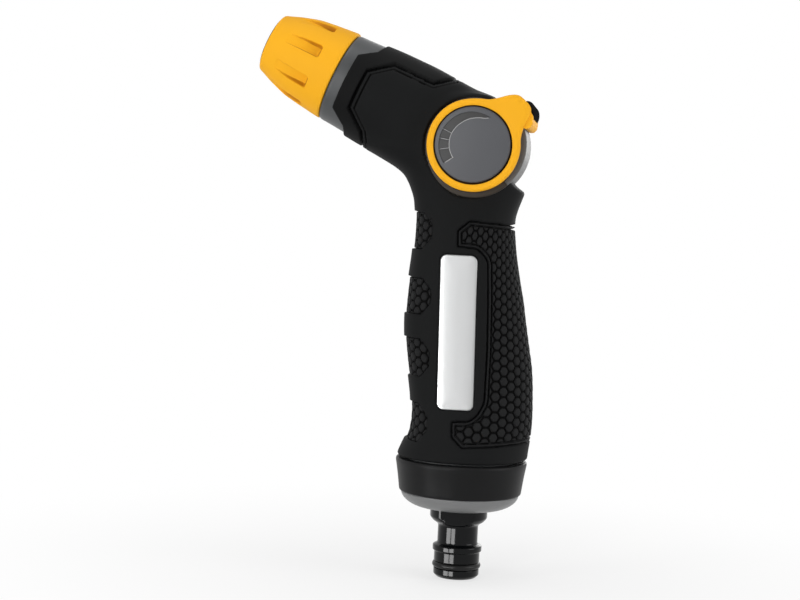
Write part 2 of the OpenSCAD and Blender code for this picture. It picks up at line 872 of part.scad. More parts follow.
module head_collar() {
    color("#77797b")
        head_frame()
            difference() {
                rotate_extrude($fn = 96)
                    polygon([[spigot_s_r, tube_end_s], [seam_r + 0.6, tube_end_s],
                        [seam_r + 0.95, 43], [seam_r, seam_s - 0.2], [spigot_s_r, seam_s - 0.2]]);
                difference() {
                    side_prism()
                        front_edge();
                    head_cyl(band_seat_r, 0, 60);
                }
            }
}

module nozzle_stem() {
    slot_l = needle_travel + 2 * pin_r + 0.3;
    color("#34363a")
        head_frame()
            difference() {
                rotate_extrude($fn = 96)
                    polygon([[port_r, stem_root_s], [stem_r - 0.6, stem_root_s],
                        [stem_r, stem_root_s + 0.6], [stem_r, spigot_end_s],
                        [spigot_s_r - 0.1, spigot_end_s], [spigot_s_r - 0.1, spigot_end_s + 2],
                        [shoulder_r, spigot_end_s + 2], [shoulder_r, shoulder_s],
                        [stem_r, shoulder_s], [stem_r, clip_s - 0.05], [stem_r - 1, clip_s - 0.05],
                        [stem_r - 1, clip_s + clip_t + 0.05], [stem_r, clip_s + clip_t + 0.05],
                        [stem_r, stem_end_s], [stem_bore_r, stem_end_s],
                        [stem_bore_r, spigot_end_s + 6], [port_r, spigot_end_s + 3]]);
                for (s = [stem_root_s + 3.2, shoulder_s + 2])
                    rotate_extrude($fn = 96)
                        translate([stem_r - 1.3, s])
                            square([3, 1.8]);
                for (a = [0, 180])
                    rotate([0, 0, a])
                        translate([0, -pin_r - 0.1, pin_s - pin_r - 0.15])
                            cube([20, 2 * pin_r + 0.2, slot_l]);
            }
}

module stem_o_rings() {
    color("#101010")
        head_frame()
            for (s = [stem_root_s + 3.2, shoulder_s + 2])
                translate([0, 0, s + 0.9])
                    o_ring(stem_r - 0.65, 1.3);
}

module sleeve_hub() {
    color("#b4b6b8")
        head_frame()
            rotate_extrude($fn = 96)
                translate([stem_r + run_gap, hub_s])
                    square([sleeve_bore_r - stem_r - run_gap, hub_len]);
}

module sleeve_clip() {
    color("#c8cacc")
        head_frame()
            translate([0, 0, clip_s])
                difference() {
                    cylinder(r = clip_r, h = clip_t, $fn = 72);
                    translate([0, 0, -1])
                        cylinder(r = stem_r - 1, h = clip_t + 2, $fn = 72);
                    translate([0, -2.5, -1])
                        cube([20, 5, clip_t + 2]);
                }
}

module nozzle_sleeve() {
    // Outline of the tapered, slightly bellied sleeve: distance from the tip, radius
    outline = [[tip_s, tip_r - 1.6], [tip_s - 0.5, tip_r - 0.5], [tip_s - 1.5, tip_r],
        [tip_s - 5.2, tip_r + 1.3], [tip_s - 11, tip_r + 2.8], [tip_s - 16, tip_r + 3.8],
        [tip_s - 21, tip_r + 4.4], [seam_s + 0.5, seam_r], [seam_s, seam_r - 0.2]];
    flutes = 8;
    flute_r = 31;
    color("#f5b51c")
        head_frame()
            difference() {
                rotate_extrude($fn = 96)
                    polygon(concat([for (p = outline) [p[1], p[0]]],
                        [[sleeve_bore_r, seam_s], [sleeve_bore_r, hub_s + hub_len],
                        [cam_r + 0.1, cam_s - 0.4], [cam_r, cam_s], [cam_r, cam_s + cam_len],
                        [nose_r - 0.6, cam_s + cam_len + 1.6], [nose_r - 0.6, nose_s],
                        [nose_r, nose_s], [nose_r, tip_s]]));
                for (k = [0 : flutes - 1])
                    rotate([0, 0, 360 * (k + 0.5) / flutes])
                        translate([tip_r + 3.75, 0, tip_s - 16])
                            rotate([0, -9, 0])
                                translate([flute_r - 0.7, 0, 0])
                                    rotate([90, 0, 0])
                                        cylinder(r = flute_r, h = 4.4, center = true, $fn = 128);
            }
}

// Ring with two helical slots that push the drive pin along
module cam_ring() {
    color("#4c5054")
        head_frame()
            difference() {
                translate([0, 0, cam_s])
                    difference() {
                        cylinder(r = cam_r, h = cam_len, $fn = 96);
                        translate([0, 0, -1])
                            cylinder(r = stem_r + 0.2, h = cam_len + 2, $fn = 96);
                    }
                for (a = [0, 180])
                    rotate([0, 0, a])
                        helical_slot();
            }
}

module helical_slot() {
    n = 20;
    lead = atan(pin_r / stem_r) + 4;
    half = pin_r + 0.25;
    r0 = stem_r - 1;
    r1 = cam_r - 0.8;
    corners = [[r0, -half], [r1, -half], [r1, half], [r0, half]];
    polyhedron([for (i = [0 : n])
        let (a = -lead + (nozzle_twist + 2 * lead) * i / n, up = needle_travel * a / nozzle_twist)
        for (c = corners) [c[0] * cos(-a), c[0] * sin(-a), pin_s + up + c[1]]],
        concat([[0, 1, 2, 3]], [for (i = [0 : n - 1]) for (k = [0 : 3])
            let (p = 4 * i + k, q = 4 * i + (k + 1) % 4) [p, p + 4, q + 4, q]],
            [[4 * n + 3, 4 * n + 2, 4 * n + 1, 4 * n]]));
}

module nose_insert() {
    color("#2a2c2e")
        head_frame()
            rotate_extrude($fn = 96)
                polygon([[orifice_r + 2.4, nose_s], [nose_r, nose_s], [nose_r, tip_s - 0.5],
                    [nose_r - 1.4, tip_s - 0.5], [orifice_r, tip_s - 2.4],
                    [orifice_r, tip_s - 3.4], [orifice_r + 0.9, tip_s - 3.8]]);
}

module spray_needle() {
    color("#c9a24a")
        head_frame()
            difference() {
                union() {
                    rotate_extrude($fn = 72)
                        polygon([[0, pin_s - 4.4], [stem_bore_r - run_gap, pin_s - 4.4],
                            [stem_bore_r - run_gap, pin_s - 2.4], [3.2, pin_s - 2.4],
                            [3.2, pin_s + 2.6], [2.2, pin_s + 3.6],
                            [2.2, needle_tip_s - 5], [1.0, needle_tip_s], [0, needle_tip_s]]);
                }
                rotate([0, 90, 0])
                    translate([-pin_s, 0, -10])
                        cylinder(r = pin_r, h = 20, $fn = 48);
                for (k = [0 : 5])
                    rotate([0, 0, 60 * k + 30])
                        translate([4.5, 0, pin_s - 6])
                            cylinder(r = 0.9, h = 5, $fn = 24);
            }
}

module drive_pin() {
    half = cam_r - 1.2;
    color("#d0d2d4")
        head_frame()
            translate([-half, 0, pin_s])
                rotate([0, 90, 0])
                    cylinder(r = pin_r, h = 2 * half, $fn = 48);
}

inlet_nipple();
inlet_o_ring();
nipple_gasket();
base_ring();
base_cap();
handle_core();
water_tube();
tube_o_rings();
valve_body();
seat_spring();
seat_seal();
valve_spool();
spool_o_rings();
spool_retainer();
lever_yoke();
thumb_pad();
lever_screws();
hub_disc_left();
hub_disc_right();
grip_skin();
finger_pads();
palm_pad();
side_plate_left();
side_plate_right();
head_band();
head_collar();
nozzle_stem();
stem_o_rings();
sleeve_hub();
sleeve_clip();
nozzle_sleeve();
cam_ring();
nose_insert();
spray_needle();
drive_pin();
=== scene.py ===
"""Looks of the hose spray nozzle: the soft skin and its pads, the thumb lever, the fluted
sleeve, the base and the inlet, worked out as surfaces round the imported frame."""

import json
import math

import bpy
import numpy as np
from mathutils import Matrix, Vector


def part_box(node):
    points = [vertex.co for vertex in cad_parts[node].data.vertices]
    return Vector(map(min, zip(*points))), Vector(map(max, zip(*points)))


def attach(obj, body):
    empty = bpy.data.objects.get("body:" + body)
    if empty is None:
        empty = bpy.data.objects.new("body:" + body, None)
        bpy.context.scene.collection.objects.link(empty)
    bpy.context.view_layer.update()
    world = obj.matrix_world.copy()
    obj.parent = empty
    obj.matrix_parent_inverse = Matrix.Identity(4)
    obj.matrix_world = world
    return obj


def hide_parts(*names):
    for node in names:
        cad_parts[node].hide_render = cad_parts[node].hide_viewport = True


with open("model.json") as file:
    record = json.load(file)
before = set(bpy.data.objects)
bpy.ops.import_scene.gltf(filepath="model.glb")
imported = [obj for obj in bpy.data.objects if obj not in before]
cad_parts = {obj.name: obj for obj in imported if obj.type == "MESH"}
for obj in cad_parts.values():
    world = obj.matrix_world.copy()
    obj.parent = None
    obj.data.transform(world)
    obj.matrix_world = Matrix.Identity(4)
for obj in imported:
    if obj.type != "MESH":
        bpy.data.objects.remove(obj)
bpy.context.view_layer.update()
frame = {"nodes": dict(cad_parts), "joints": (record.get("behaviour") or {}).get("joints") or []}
MM = 0.001

# ---- Places that come from the frame, in millimetres ----

joints = {j["name"]: j for j in frame["joints"]}
VALVE = np.array(joints["lever_turn"]["pos_m"], float) / MM
OUT = np.array(joints["nozzle_twist"]["axis"], float)
OUT /= np.linalg.norm(OUT)
UP = np.array([OUT[2], 0.0, -OUT[0]])


def span(node, axis):
    """Lowest and highest place of a CAD node along one axis, in millimetres."""
    low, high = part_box(node)
    return low[axis] / MM, high[axis] / MM


# The rings and dials sit a little behind and below the valve's axis
HUB = VALVE + np.array([0.25, 0, -0.45])
AXIS_Y, AXIS_Z = np.array([0.0, 1.0, 0.0]), np.array([0.0, 0.0, 1.0])
CAP_Z, SKIN_Z = span("base_cap", 2)[0], span("grip_skin", 2)[0]
CAP_TOP = span("base_cap", 2)[1]
ARM_OUT = span("lever_yoke", 1)[1]
ARM_IN = ARM_OUT - 4.1
BARREL_HALF, BARREL_R = span("valve_body", 1)[1], 18.15

# ---- Camera ----


def place_camera():
    """Looks at the nozzle from a little to its rear and a little above, tilted by a few degrees."""
    turn, lift, roll, away = math.radians(6.5), math.radians(3.2), math.radians(2.67), 650 * MM
    right = Vector((math.cos(turn), math.sin(turn), 0))
    back = Vector((math.sin(turn) * math.cos(lift), -math.cos(turn) * math.cos(lift), math.sin(lift)))
    up = back.cross(right)
    across = right * math.cos(roll) + up * math.sin(roll)
    upright = up * math.cos(roll) - right * math.sin(roll)
    target = Vector((-24.2, 0, 96)) * MM
    data = bpy.data.cameras.new("studio_camera")
    data.sensor_width, data.lens = 36, 83.57
    data.clip_start, data.clip_end = 0.01, 50
    camera = bpy.data.objects.new("studio_camera", data)
    turned = Matrix((across, upright, back)).transposed()
    camera.matrix_world = Matrix.Translation(target + back * away) @ turned.to_4x4()
    bpy.context.scene.collection.objects.link(camera)
    bpy.context.scene.camera = camera


place_camera()

# ---- Curves and distances ----


def smooth_curve(at, places, values):
    """Cubic through the stations, each slope the mean slope of its neighbours."""
    places, values = np.asarray(places, float), np.asarray(values, float)
    slopes = np.gradient(values, places)
    i = np.clip(np.searchsorted(places, at) - 1, 0, len(places) - 2)
    width = places[i + 1] - places[i]
    w = np.clip((at - places[i]) / width, 0, 1)
    return ((2 * w**3 - 3 * w**2 + 1) * values[i] + (w**3 - 2 * w**2 + w) * width * slopes[i]
            + (3 * w**2 - 2 * w**3) * values[i + 1] + (w**3 - w**2) * width * slopes[i + 1])


def step(x, low, high):
    """Smooth step from 0 at low to 1 at high."""
    w = np.clip((x - low) / (high - low), 0, 1)
    return w * w * (3 - 2 * w)


def blend_min(a, b, k):
    """The lesser of two distances, rounded off where they differ by less than k."""
    h = np.maximum(k - np.abs(a - b), 0) / k
    return np.minimum(a, b) - h * h * k / 4


def blend_max(a, b, k):
    """The greater of two distances, rounded off where they differ by less than k."""
    return -blend_min(-a, -b, k)


def softened(corners, reach, steps=5):
    """Outline whose corners are quadratic curves that leave the edges a given reach early."""
    p = np.asarray(corners, float)
    reach = np.broadcast_to(np.asarray(reach, float), len(p))
    before, after = p - np.roll(p, 1, 0), np.roll(p, -1, 0) - p
    lb, la = np.linalg.norm(before, axis=1), np.linalg.norm(after, axis=1)
    start = p - before * (np.minimum(reach, 0.48 * lb) / lb)[:, None]
    end = p + after * (np.minimum(reach, 0.48 * la) / la)[:, None]
    w = np.linspace(0, 1, steps)[None, :, None]
    q = (1 - w)**2 * start[:, None] + 2 * w * (1 - w) * p[:, None] + w * w * end[:, None]
    return q.reshape(-1, 2)


def depth_inside(a, b, outline):
    """Distance to the nearest edge of a closed outline, positive inside it."""
    p = np.asarray(outline, float)
    p = p[np.linalg.norm(p - np.roll(p, 1, 0), axis=1) > 1e-6]
    nearest, inside = np.full(a.shape, np.inf), np.zeros(a.shape, bool)
    for (a0, b0), (a1, b1) in zip(p, np.roll(p, -1, 0)):
        ea, eb = a1 - a0, b1 - b0
        w = np.clip(((a - a0) * ea + (b - b0) * eb) / (ea * ea + eb * eb), 0, 1)
        nearest = np.minimum(nearest, np.hypot(a - a0 - w * ea, b - b0 - w * eb))
        inside ^= ((b0 > b) != (b1 > b)) & (a < ea * (b - b0) / (eb if eb else 1e-9) + a0)
    return np.where(inside, nearest, -nearest)


# ---- Meshes ----


def quads(rows, cols, wrap_rows=False, wrap_cols=False):
    """Index of every cell of a grid as four corners."""
    r, c = np.meshgrid(np.arange(rows if wrap_rows else rows - 1),
                       np.arange(cols if wrap_cols else cols - 1), indexing="ij")
    r2, c2 = (r + 1) % rows, (c + 1) % cols
    return np.stack([r * cols + c, r * cols + c2, r2 * cols + c2, r2 * cols + c], -1).reshape(-1, 4)


def piece(name, points, cells, finish, body, stands_for=(), sharp=None, marks=None):
    """One mesh from points in millimetres and cells, with unused points left out.
    The cells come already wound so that the faces point outwards, and the mesh is shaded smooth."""
    points = np.asarray(points, float).reshape(-1, 3)
    used, flat = np.unique(np.concatenate([np.ravel(c) for c in cells]), return_inverse=True)
    sizes = np.concatenate([np.full(len(c), np.shape(c)[1]) for c in cells])
    mesh = bpy.data.meshes.new(name)
    mesh.vertices.add(len(used))
    mesh.vertices.foreach_set("co", (points[used] * MM).astype(np.float32).ravel())
    mesh.loops.add(len(flat))
    mesh.loops.foreach_set("vertex_index", flat.astype(np.int32).ravel())
    mesh.polygons.add(len(sizes))
    mesh.polygons.foreach_set("loop_start", (np.cumsum(sizes) - sizes).astype(np.int32))
    mesh.polygons.foreach_set("use_smooth", np.ones(len(sizes), bool))
    mesh.update(calc_edges=True)
    mesh.validate()
    for key, values in (marks or {}).items():
        layer = mesh.attributes.new(key, "FLOAT", "POINT")
        layer.data.foreach_set("value", np.ravel(values)[used].astype(np.float32))
    if sharp is not None:
        mesh.set_sharp_from_angle(angle=math.radians(sharp))
    thing = bpy.data.objects.new(name, mesh)
    bpy.context.scene.collection.objects.link(thing)
    mesh.materials.append(finish)
    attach(thing, body)
    if stands_for:
        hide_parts(*stands_for)
    return thing


def turned_out(points, cells, centre):
    """The cells, each wound so that it faces away from the centre point given for its corners."""
    p = np.asarray(points, float).reshape(-1, 3)
    c = np.broadcast_to(centre, p.shape)
    normal = np.cross(p[cells[:, 2]] - p[cells[:, 0]], p[cells[:, 3]] - p[cells[:, 1]])
    away = (p[cells] - c[cells]).mean(1)
    return cells[:, ::-1] if (normal * away).sum() < 0 else cells


def closed_out(points, cells):
    """The cells of a closed surface, wound so that it encloses a positive volume."""
    p = np.asarray(points, float).reshape(-1, 3)
    a, b, c, d = (p[cells[:, k]] for k in range(4))
    volume = (a * np.cross(b, c)).sum() + (a * np.cross(c, d)).sum()
    return cells[:, ::-1] if volume < 0 else cells


def lathe(name, profile, around, origin, axis, finish, body, stands_for=(), reshape=None,
          sharp=None, marks=None):
    """Closed ring: each point (radius, height) of the closed profile is carried once round the
    axis. reshape may move the points, given as arrays of radius, height and angle."""
    profile = np.asarray(profile, float)
    angle = np.asarray(around, float)
    radius = np.repeat(profile[:, :1], len(angle), 1)
    height = np.repeat(profile[:, 1:2], len(angle), 1)
    turn = np.repeat(angle[None, :], len(profile), 0)
    if reshape:
        radius, height, turn = reshape(radius, height, turn)
    axis = np.asarray(axis, float)
    first = UP if abs(axis[2]) < 0.9 and abs(axis[1]) < 0.9 else np.array([1.0, 0, 0])
    second = np.cross(axis, first)
    points = (np.asarray(origin, float) + height[..., None] * axis
              + radius[..., None] * (np.cos(turn)[..., None] * first + np.sin(turn)[..., None] * second))
    cells = closed_out(points, quads(len(profile), len(angle), True, True))
    return piece(name, points, [cells], finish, body, stands_for, sharp, marks)


def even_turn(n):
    """n equal steps once round."""
    return np.arange(n) * 2 * np.pi / n


def backward_degrees(turn):
    """Angle about the crosswise axis in degrees from -180 to 180, counted from +x towards +z."""
    return -np.mod(np.degrees(turn) + 180, 360) + 180


# ---- Finishes ----

# Marks whose colour is painted shade in hollows, gaps and grooves; these are made duller too
SHADED_HOLLOWS, HOLLOW_ROUGH = ("sunk", "gap", "groove"), 0.95


def finish(name, colour, rough, metal=0.0, specular=0.5, grain=0.3, grain_height=0.01, tone=0.12,
           tone_size=9.0, rough_swing=0.06, stretch=(1, 1, 1), marks=()):
    """Plain-coloured material with moulded grain. Fine noise of the given grain size in
    millimetres lifts the surface, and broad noise shifts its tone and roughness a little.
    marks gives (attribute, colour, low, high) for another colour where that attribute rises
    from low to high: painted shade in hollows, gaps, grooves and along the grips' walls, a painted
    highlight on the dial's pale lines, and the dial's darker scale windows. Where the attribute marks
    a hollow, the surface is duller too."""
    made = bpy.data.materials.new(name)
    made.use_nodes = True
    tree = made.node_tree
    shader = tree.nodes["Principled BSDF"]
    link = tree.links.new

    def node(kind, **values):
        n = tree.nodes.new(kind)
        for key, value in values.items():
            if hasattr(n, key):
                setattr(n, key, value)
            else:
                n.inputs[key.replace("_", " ")].default_value = value
        return n

    place = node("ShaderNodeTexCoord")
    fit = node("ShaderNodeMapping")
    fit.inputs["Scale"].default_value = stretch
    link(place.outputs["Object"], fit.inputs["Vector"])
    broad = node("ShaderNodeTexNoise", Scale=1000 / tone_size, Detail=3.0, Roughness=0.55)
    fine = node("ShaderNodeTexNoise", Scale=1000 / grain, Detail=2.0, Roughness=0.6)
    for source in (broad, fine):
        link(fit.outputs["Vector"], source.inputs["Vector"])

    dark = [c * (1 - tone) for c in colour] + [1]
    light = [min(c * (1 + tone), 1) for c in colour] + [1]
    mix = node("ShaderNodeMix", data_type="RGBA")
    mix.inputs["A"].default_value, mix.inputs["B"].default_value = dark, light
    link(broad.outputs["Fac"], mix.inputs["Factor"])
    shade, hollow = mix.outputs["Result"], None
    for key, tint, low, high in marks:
        painted = node("ShaderNodeAttribute", attribute_name=key)
        rise = node("ShaderNodeMapRange", interpolation_type="SMOOTHSTEP")
        rise.inputs["From Min"].default_value, rise.inputs["From Max"].default_value = low, high
        over = node("ShaderNodeMix", data_type="RGBA")
        over.inputs["B"].default_value = list(tint) + [1]
        link(painted.outputs["Fac"], rise.inputs["Value"])
        link(rise.outputs["Result"], over.inputs["Factor"])
        link(shade, over.inputs["A"])
        shade = over.outputs["Result"]
        if key in SHADED_HOLLOWS:
            either = node("ShaderNodeMath", operation="MAXIMUM")
            link(rise.outputs["Result"], either.inputs[0])
            if hollow:
                link(hollow, either.inputs[1])
            hollow = either.outputs[0]
    link(shade, shader.inputs["Base Color"])

    swing = node("ShaderNodeMapRange")
    swing.inputs["To Min"].default_value = rough - rough_swing
    swing.inputs["To Max"].default_value = rough + rough_swing
    link(broad.outputs["Fac"], swing.inputs["Value"])
    matt = swing.outputs["Result"]
    if hollow:
        duller = node("ShaderNodeMix", data_type="FLOAT")
        duller.inputs["B"].default_value = HOLLOW_ROUGH
        link(hollow, duller.inputs["Factor"])
        link(matt, duller.inputs["A"])
        matt = duller.outputs["Result"]
    link(matt, shader.inputs["Roughness"])

    bump = node("ShaderNodeBump", Strength=1.0, Distance=grain_height * MM)
    link(fine.outputs["Fac"], bump.inputs["Height"])
    link(bump.outputs["Normal"], shader.inputs["Normal"])

    shader.inputs["Metallic"].default_value = metal
    shader.inputs["Specular IOR Level"].default_value = specular
    return made


# The skin's marks are painted shade: darker on the seats' floors, near black in the slots of the groove
# behind the head band
soft_skin = finish("soft_skin_rubber", (0.004, 0.0043, 0.0045), 0.43, specular=0.1, grain=0.22,
                   grain_height=0.012, tone=0.16, tone_size=14,
                   marks=[("sunk", (0.0012, 0.0012, 0.0012), 0.3, 0.8),
                          ("groove", (0.0007, 0.0007, 0.0007), -0.05, 0.05)])
# The pads' marks are painted shade: near black in the gaps between studs and in the sunk edges and
# grooves
stud_rubber = finish("stud_rubber", (0.0075, 0.0077, 0.008), 0.4, specular=0.12, grain=0.2,
                     grain_height=0.008, tone=0.2, tone_size=5,
                     marks=[("gap", (0.0006, 0.0006, 0.0006), 1.38, 1.5),
                            ("sunk", (0.001, 0.001, 0.001), 0.5, 0.9)])
thumb_rubber = finish("thumb_rubber", (0.014, 0.0145, 0.0148), 0.5, specular=0.0, grain=0.25,
                      grain_height=0.01, tone=0.2, tone_size=5)
seal_rubber = finish("seal_rubber", (0.005, 0.005, 0.0052), 0.36, specular=0.2, grain=0.3,
                     grain_height=0.006)
# The yellow's marks are painted shade: brown along the walls of the sleeve's grips, dark brown on the
# lever's web and on the wall of its seat round the dial
yellow_shell = finish("yellow_plastic", (0.83, 0.395, 0.0095), 0.36, specular=0.18, grain=0.5,
                      grain_height=0.006, tone=0.04, tone_size=22, rough_swing=0.04,
                      marks=[("wall_shade", (0.5, 0.2, 0.004), 0.0, 1.0),
                             ("gap", (0.05, 0.022, 0.003), 0.4, 0.8)])
grey_paint = finish("grey_satin_plastic", (0.055, 0.058, 0.06), 0.42, specular=0.3,
                    grain=0.35, grain_height=0.004, tone=0.06, tone_size=12)
# The flanges are coloured dark as painted shade, for the shade under the lever's rings
flange_shade_paint = finish("flange_plastic_painted_shade", (0.031, 0.025, 0.019), 0.42, specular=0.18,
                     grain=0.35, grain_height=0.004, tone=0.08, tone_size=9)
ring_paint = finish("pale_grey_satin_plastic", (0.172, 0.174, 0.175), 0.4, specular=0.25,
                    grain=0.35, grain_height=0.004, tone=0.05, tone_size=14)
barrel_paint = finish("barrel_grey_plastic", (0.12, 0.1188, 0.1168), 0.45, specular=0.1,
                      grain=0.4, grain_height=0.004, tone=0.05, tone_size=10, stretch=(1, 0.12, 1))
# The dial's pale line is a painted highlight on a slightly raised rim round the scale's windows
dial_face = finish("dial_grey_plastic", (0.076, 0.078, 0.085), 0.38, specular=0.25, grain=0.3,
                   grain_height=0.004, tone=0.06, tone_size=16,
                   marks=[("mark", (0.034, 0.034, 0.034), 0.3, 0.7),
                          ("line", (0.3, 0.3, 0.3), 0.3, 0.7)])
black_shell = finish("black_satin_plastic", (0.0085, 0.0086, 0.0089), 0.42, specular=0.09, grain=0.35,
                     grain_height=0.006, tone=0.1, tone_size=12)
black_gloss = finish("black_gloss_plastic", (0.0026, 0.003, 0.0034), 0.12, specular=0.15, grain=0.9,
                     grain_height=0.003, tone=0.1, tone_size=10, rough_swing=0.03)
natural_shell = finish("natural_plastic", (0.74, 0.71, 0.63), 0.4, grain=0.5, grain_height=0.004,
                       tone=0.04)
plate_metal = finish("satin_silver_plate", (0.43, 0.435, 0.435), 0.25, metal=0.6, specular=0.3,
                     grain=0.35, grain_height=0.0012, tone=0.04, tone_size=18, rough_swing=0.04,
                     stretch=(1, 1, 0.06))
spring_steel = finish("spring_steel", (0.52, 0.53, 0.54), 0.26, metal=1.0, grain=0.25,
                      grain_height=0.002, tone=0.06)
needle_brass = finish("needle_brass", (0.66, 0.47, 0.18), 0.24, metal=1.0, grain=0.25,
                      grain_height=0.002, tone=0.08)

# CAD pieces that stay: the inner works and the seals
STAYING = {
    "inlet_o_ring": seal_rubber, "nipple_gasket": seal_rubber, "handle_core": grey_paint,
    "water_tube": natural_shell, "tube_o_rings": seal_rubber,
    "seat_spring": spring_steel, "seat_seal": seal_rubber, "valve_spool": natural_shell,
    "spool_o_rings": seal_rubber, "spool_retainer": barrel_paint, "lever_screws": spring_steel,
    "nozzle_stem": black_shell, "stem_o_rings": seal_rubber,
    "sleeve_hub": ring_paint, "sleeve_clip": spring_steel, "cam_ring": black_shell,
    "nose_insert": black_shell, "spray_needle": needle_brass, "drive_pin": spring_steel,
}
for node_name, coat_of in STAYING.items():
    kept = frame["nodes"][node_name]
    kept.data.materials.clear()
    kept.data.materials.append(coat_of)

# ---- The overmould: handle, elbow and head as one form ----

# The handle's front, rear and half width by height, then the head's radius along its axis
HANDLE_Z = [42.6, 45.9, 50.3, 55, 63, 68.6, 76, 84, 91, 98.5, 106, 112, 121, 129, 131.7, 134.4,
            137.1, 139.9, 142.5, 145.1, 147.7, 150]
HANDLE_FRONT = [-22.7, -21.4, -19.6, -18.8, -18.9, -19.7, -20.9, -21.9, -22.2, -21.9, -21.3, -20.7,
                -20.2, -20.4, -20.8, -21.7, -22.9, -24.7, -27.7, -32.0, -36.7, -41.5]
REAR_Z = [42.6, 45.8, 49, 52.9, 58.5, 64, 69.7, 75.3, 80.8, 86.3, 91.9, 97.4, 102.9, 108.4, 113.9,
          119.5, 123.6, 126.4, 129, 132, 134.8, 138, 142, 150]
HANDLE_REAR = [22.9, 23.2, 23.6, 24.0, 24.1, 23.9, 23.6, 23.0, 22.0, 21.0, 20.0, 19.1, 17.9, 16.8,
               15.8, 15.1, 14.7, 14.8, 15.4, 16.4, 17.4, 18.4, 18.6, 17.0]
WIDTH_Z = [42.6, 47, 51, 56, 62, 69.6, 80, 91, 108, 126, 134.8, 142, 150]
HANDLE_HALF = [22.6, 21.5, 20.0, 19.0, 18.5, 18.25, 18.15, 18.1, 17.9, 17.4, 16.9, 16.7, 16.2]
HEAD_S = [-20, 0, 4, 11, 18, 24, 30, 37.5, 43, 49]
HEAD_R = [16.6, 16.8, 16.95, 17.35, 17.85, 18.1, 18.0, 17.75, 17.35, 17.0]
HEAD_LOW = 0.4  # the head's axis lies this far under the nozzle's
RING_R = 15.7  # outer radius of the lever's rings away from the lug
SHELL_R, SHELL_HALF, SEAT_HALF = 17.2, 17.0, 16.35  # skin round the valve, and between the rings
SWING_R, SWING_TOP = 17.9, 66.5  # reach of the lever's swing, and its upper end in degrees
SHELF, SHELF_AT = (0.305, 0.952), (12.7, -13.75)  # direction and a point of the shelf's face
SLOPE, SLOPE_AT = (0.72, 0.693), (15.0, -14.35)  # and of the slope outside it
# Radius of the skin's openings round the rings, by angle about the hub
OPENING_TURN = [-181, -165, -150, -135, -115, -90, -60, -40, 0, 60, 181]
OPENING_R = [16.85, 16.85, 16.85, 17.2, 17.8, 17.9, 17.9, 17.85, 17.2, 16.4, 16.85]


def handle_form(x, y, z):
    """How far a point is outside the handle's rounded-oval section at its height."""
    front, rear = smooth_curve(z, HANDLE_Z, HANDLE_FRONT), smooth_curve(z, REAR_Z, HANDLE_REAR)
    half = smooth_curve(z, WIDTH_Z, HANDLE_HALF)
    power = 2.05 + 0.55 * step(z, 46, 62)
    across = x - (front + rear) / 2
    fill = ((np.abs(across) * 2 / (rear - front))**power + (np.abs(y) / half)**power)**(1 / power)
    away = np.hypot(across, y) * (1 - 1 / np.maximum(fill, 1e-6))
    return blend_max(away, z - 149.5, 3)


def head_form(x, y, z):
    """How far a point is outside the head's tube, whose section squares up towards the valve."""
    s = (x - VALVE[0]) * OUT[0] + (z - VALVE[2]) * OUT[2]
    t = (x - VALVE[0]) * UP[0] + (z - VALVE[2]) * UP[2] + HEAD_LOW * step(s, 0, 22)
    radius = smooth_curve(s, HEAD_S, HEAD_R)
    power = 2.0 + 1.9 * step(s, 34, 0)
    fill = ((np.abs(t) / radius)**power + (np.abs(y) / radius)**power)**(1 / power)
    away = np.hypot(t, y) * (1 - 1 / np.maximum(fill, 1e-6))
    return blend_max(away, -s - 12, 3)


def skin_form(x, y, z):
    """How far a point is outside the skin: handle, head and barrel blended, less the lever's
    swing and the round openings for the lever's rings."""
    dx, dz = x - VALVE[0], z - VALVE[2]
    r = np.hypot(dx, dz)
    shell = blend_max(r - SHELL_R, np.abs(y) - SHELL_HALF, 3.0)
    body = blend_min(blend_min(handle_form(x, y, z), head_form(x, y, z), 2.6), shell, 2.6)
    high = math.radians(SWING_TOP)
    shelf = SHELF[0] * (dx - SHELF_AT[0]) + SHELF[1] * (dz - SHELF_AT[1])
    slope = SLOPE[0] * (dx - SLOPE_AT[0]) + SLOPE[1] * (dz - SLOPE_AT[1])
    swing = np.minimum(np.minimum(blend_min(shelf, slope, 1.1),
                                  dx * math.sin(high) - dz * math.cos(high)), r - SWING_R)
    hx, hz = x - HUB[0], z - HUB[2]
    opening = smooth_curve(np.degrees(np.arctan2(hz, hx)), OPENING_TURN, OPENING_R)
    seat = np.minimum(np.abs(y) - SEAT_HALF, opening - np.hypot(hx, hz))
    return blend_max(blend_max(body, swing, 1.5), seat, 0.5)


# Sections: flat up to TOP_Z, fanned about PIVOT to HEAD_FROM along the head, then to SKIN_END
TOP_Z, HEAD_FROM, SKIN_END = 134.0, 24.0, 44.6
PIVOT = VALVE + HEAD_FROM * OUT + (TOP_Z - VALVE[2] - HEAD_FROM * OUT[2]) / UP[2] * UP
LEN_A, LEN_B, LEN_C = TOP_Z - SKIN_Z, 40.0, SKIN_END - HEAD_FROM
ELBOW = math.acos(UP[0])
REACH_END = float(np.dot(VALVE + HEAD_FROM * OUT - PIVOT, UP))
RAY_REACH, HALVINGS = 27.0, 22


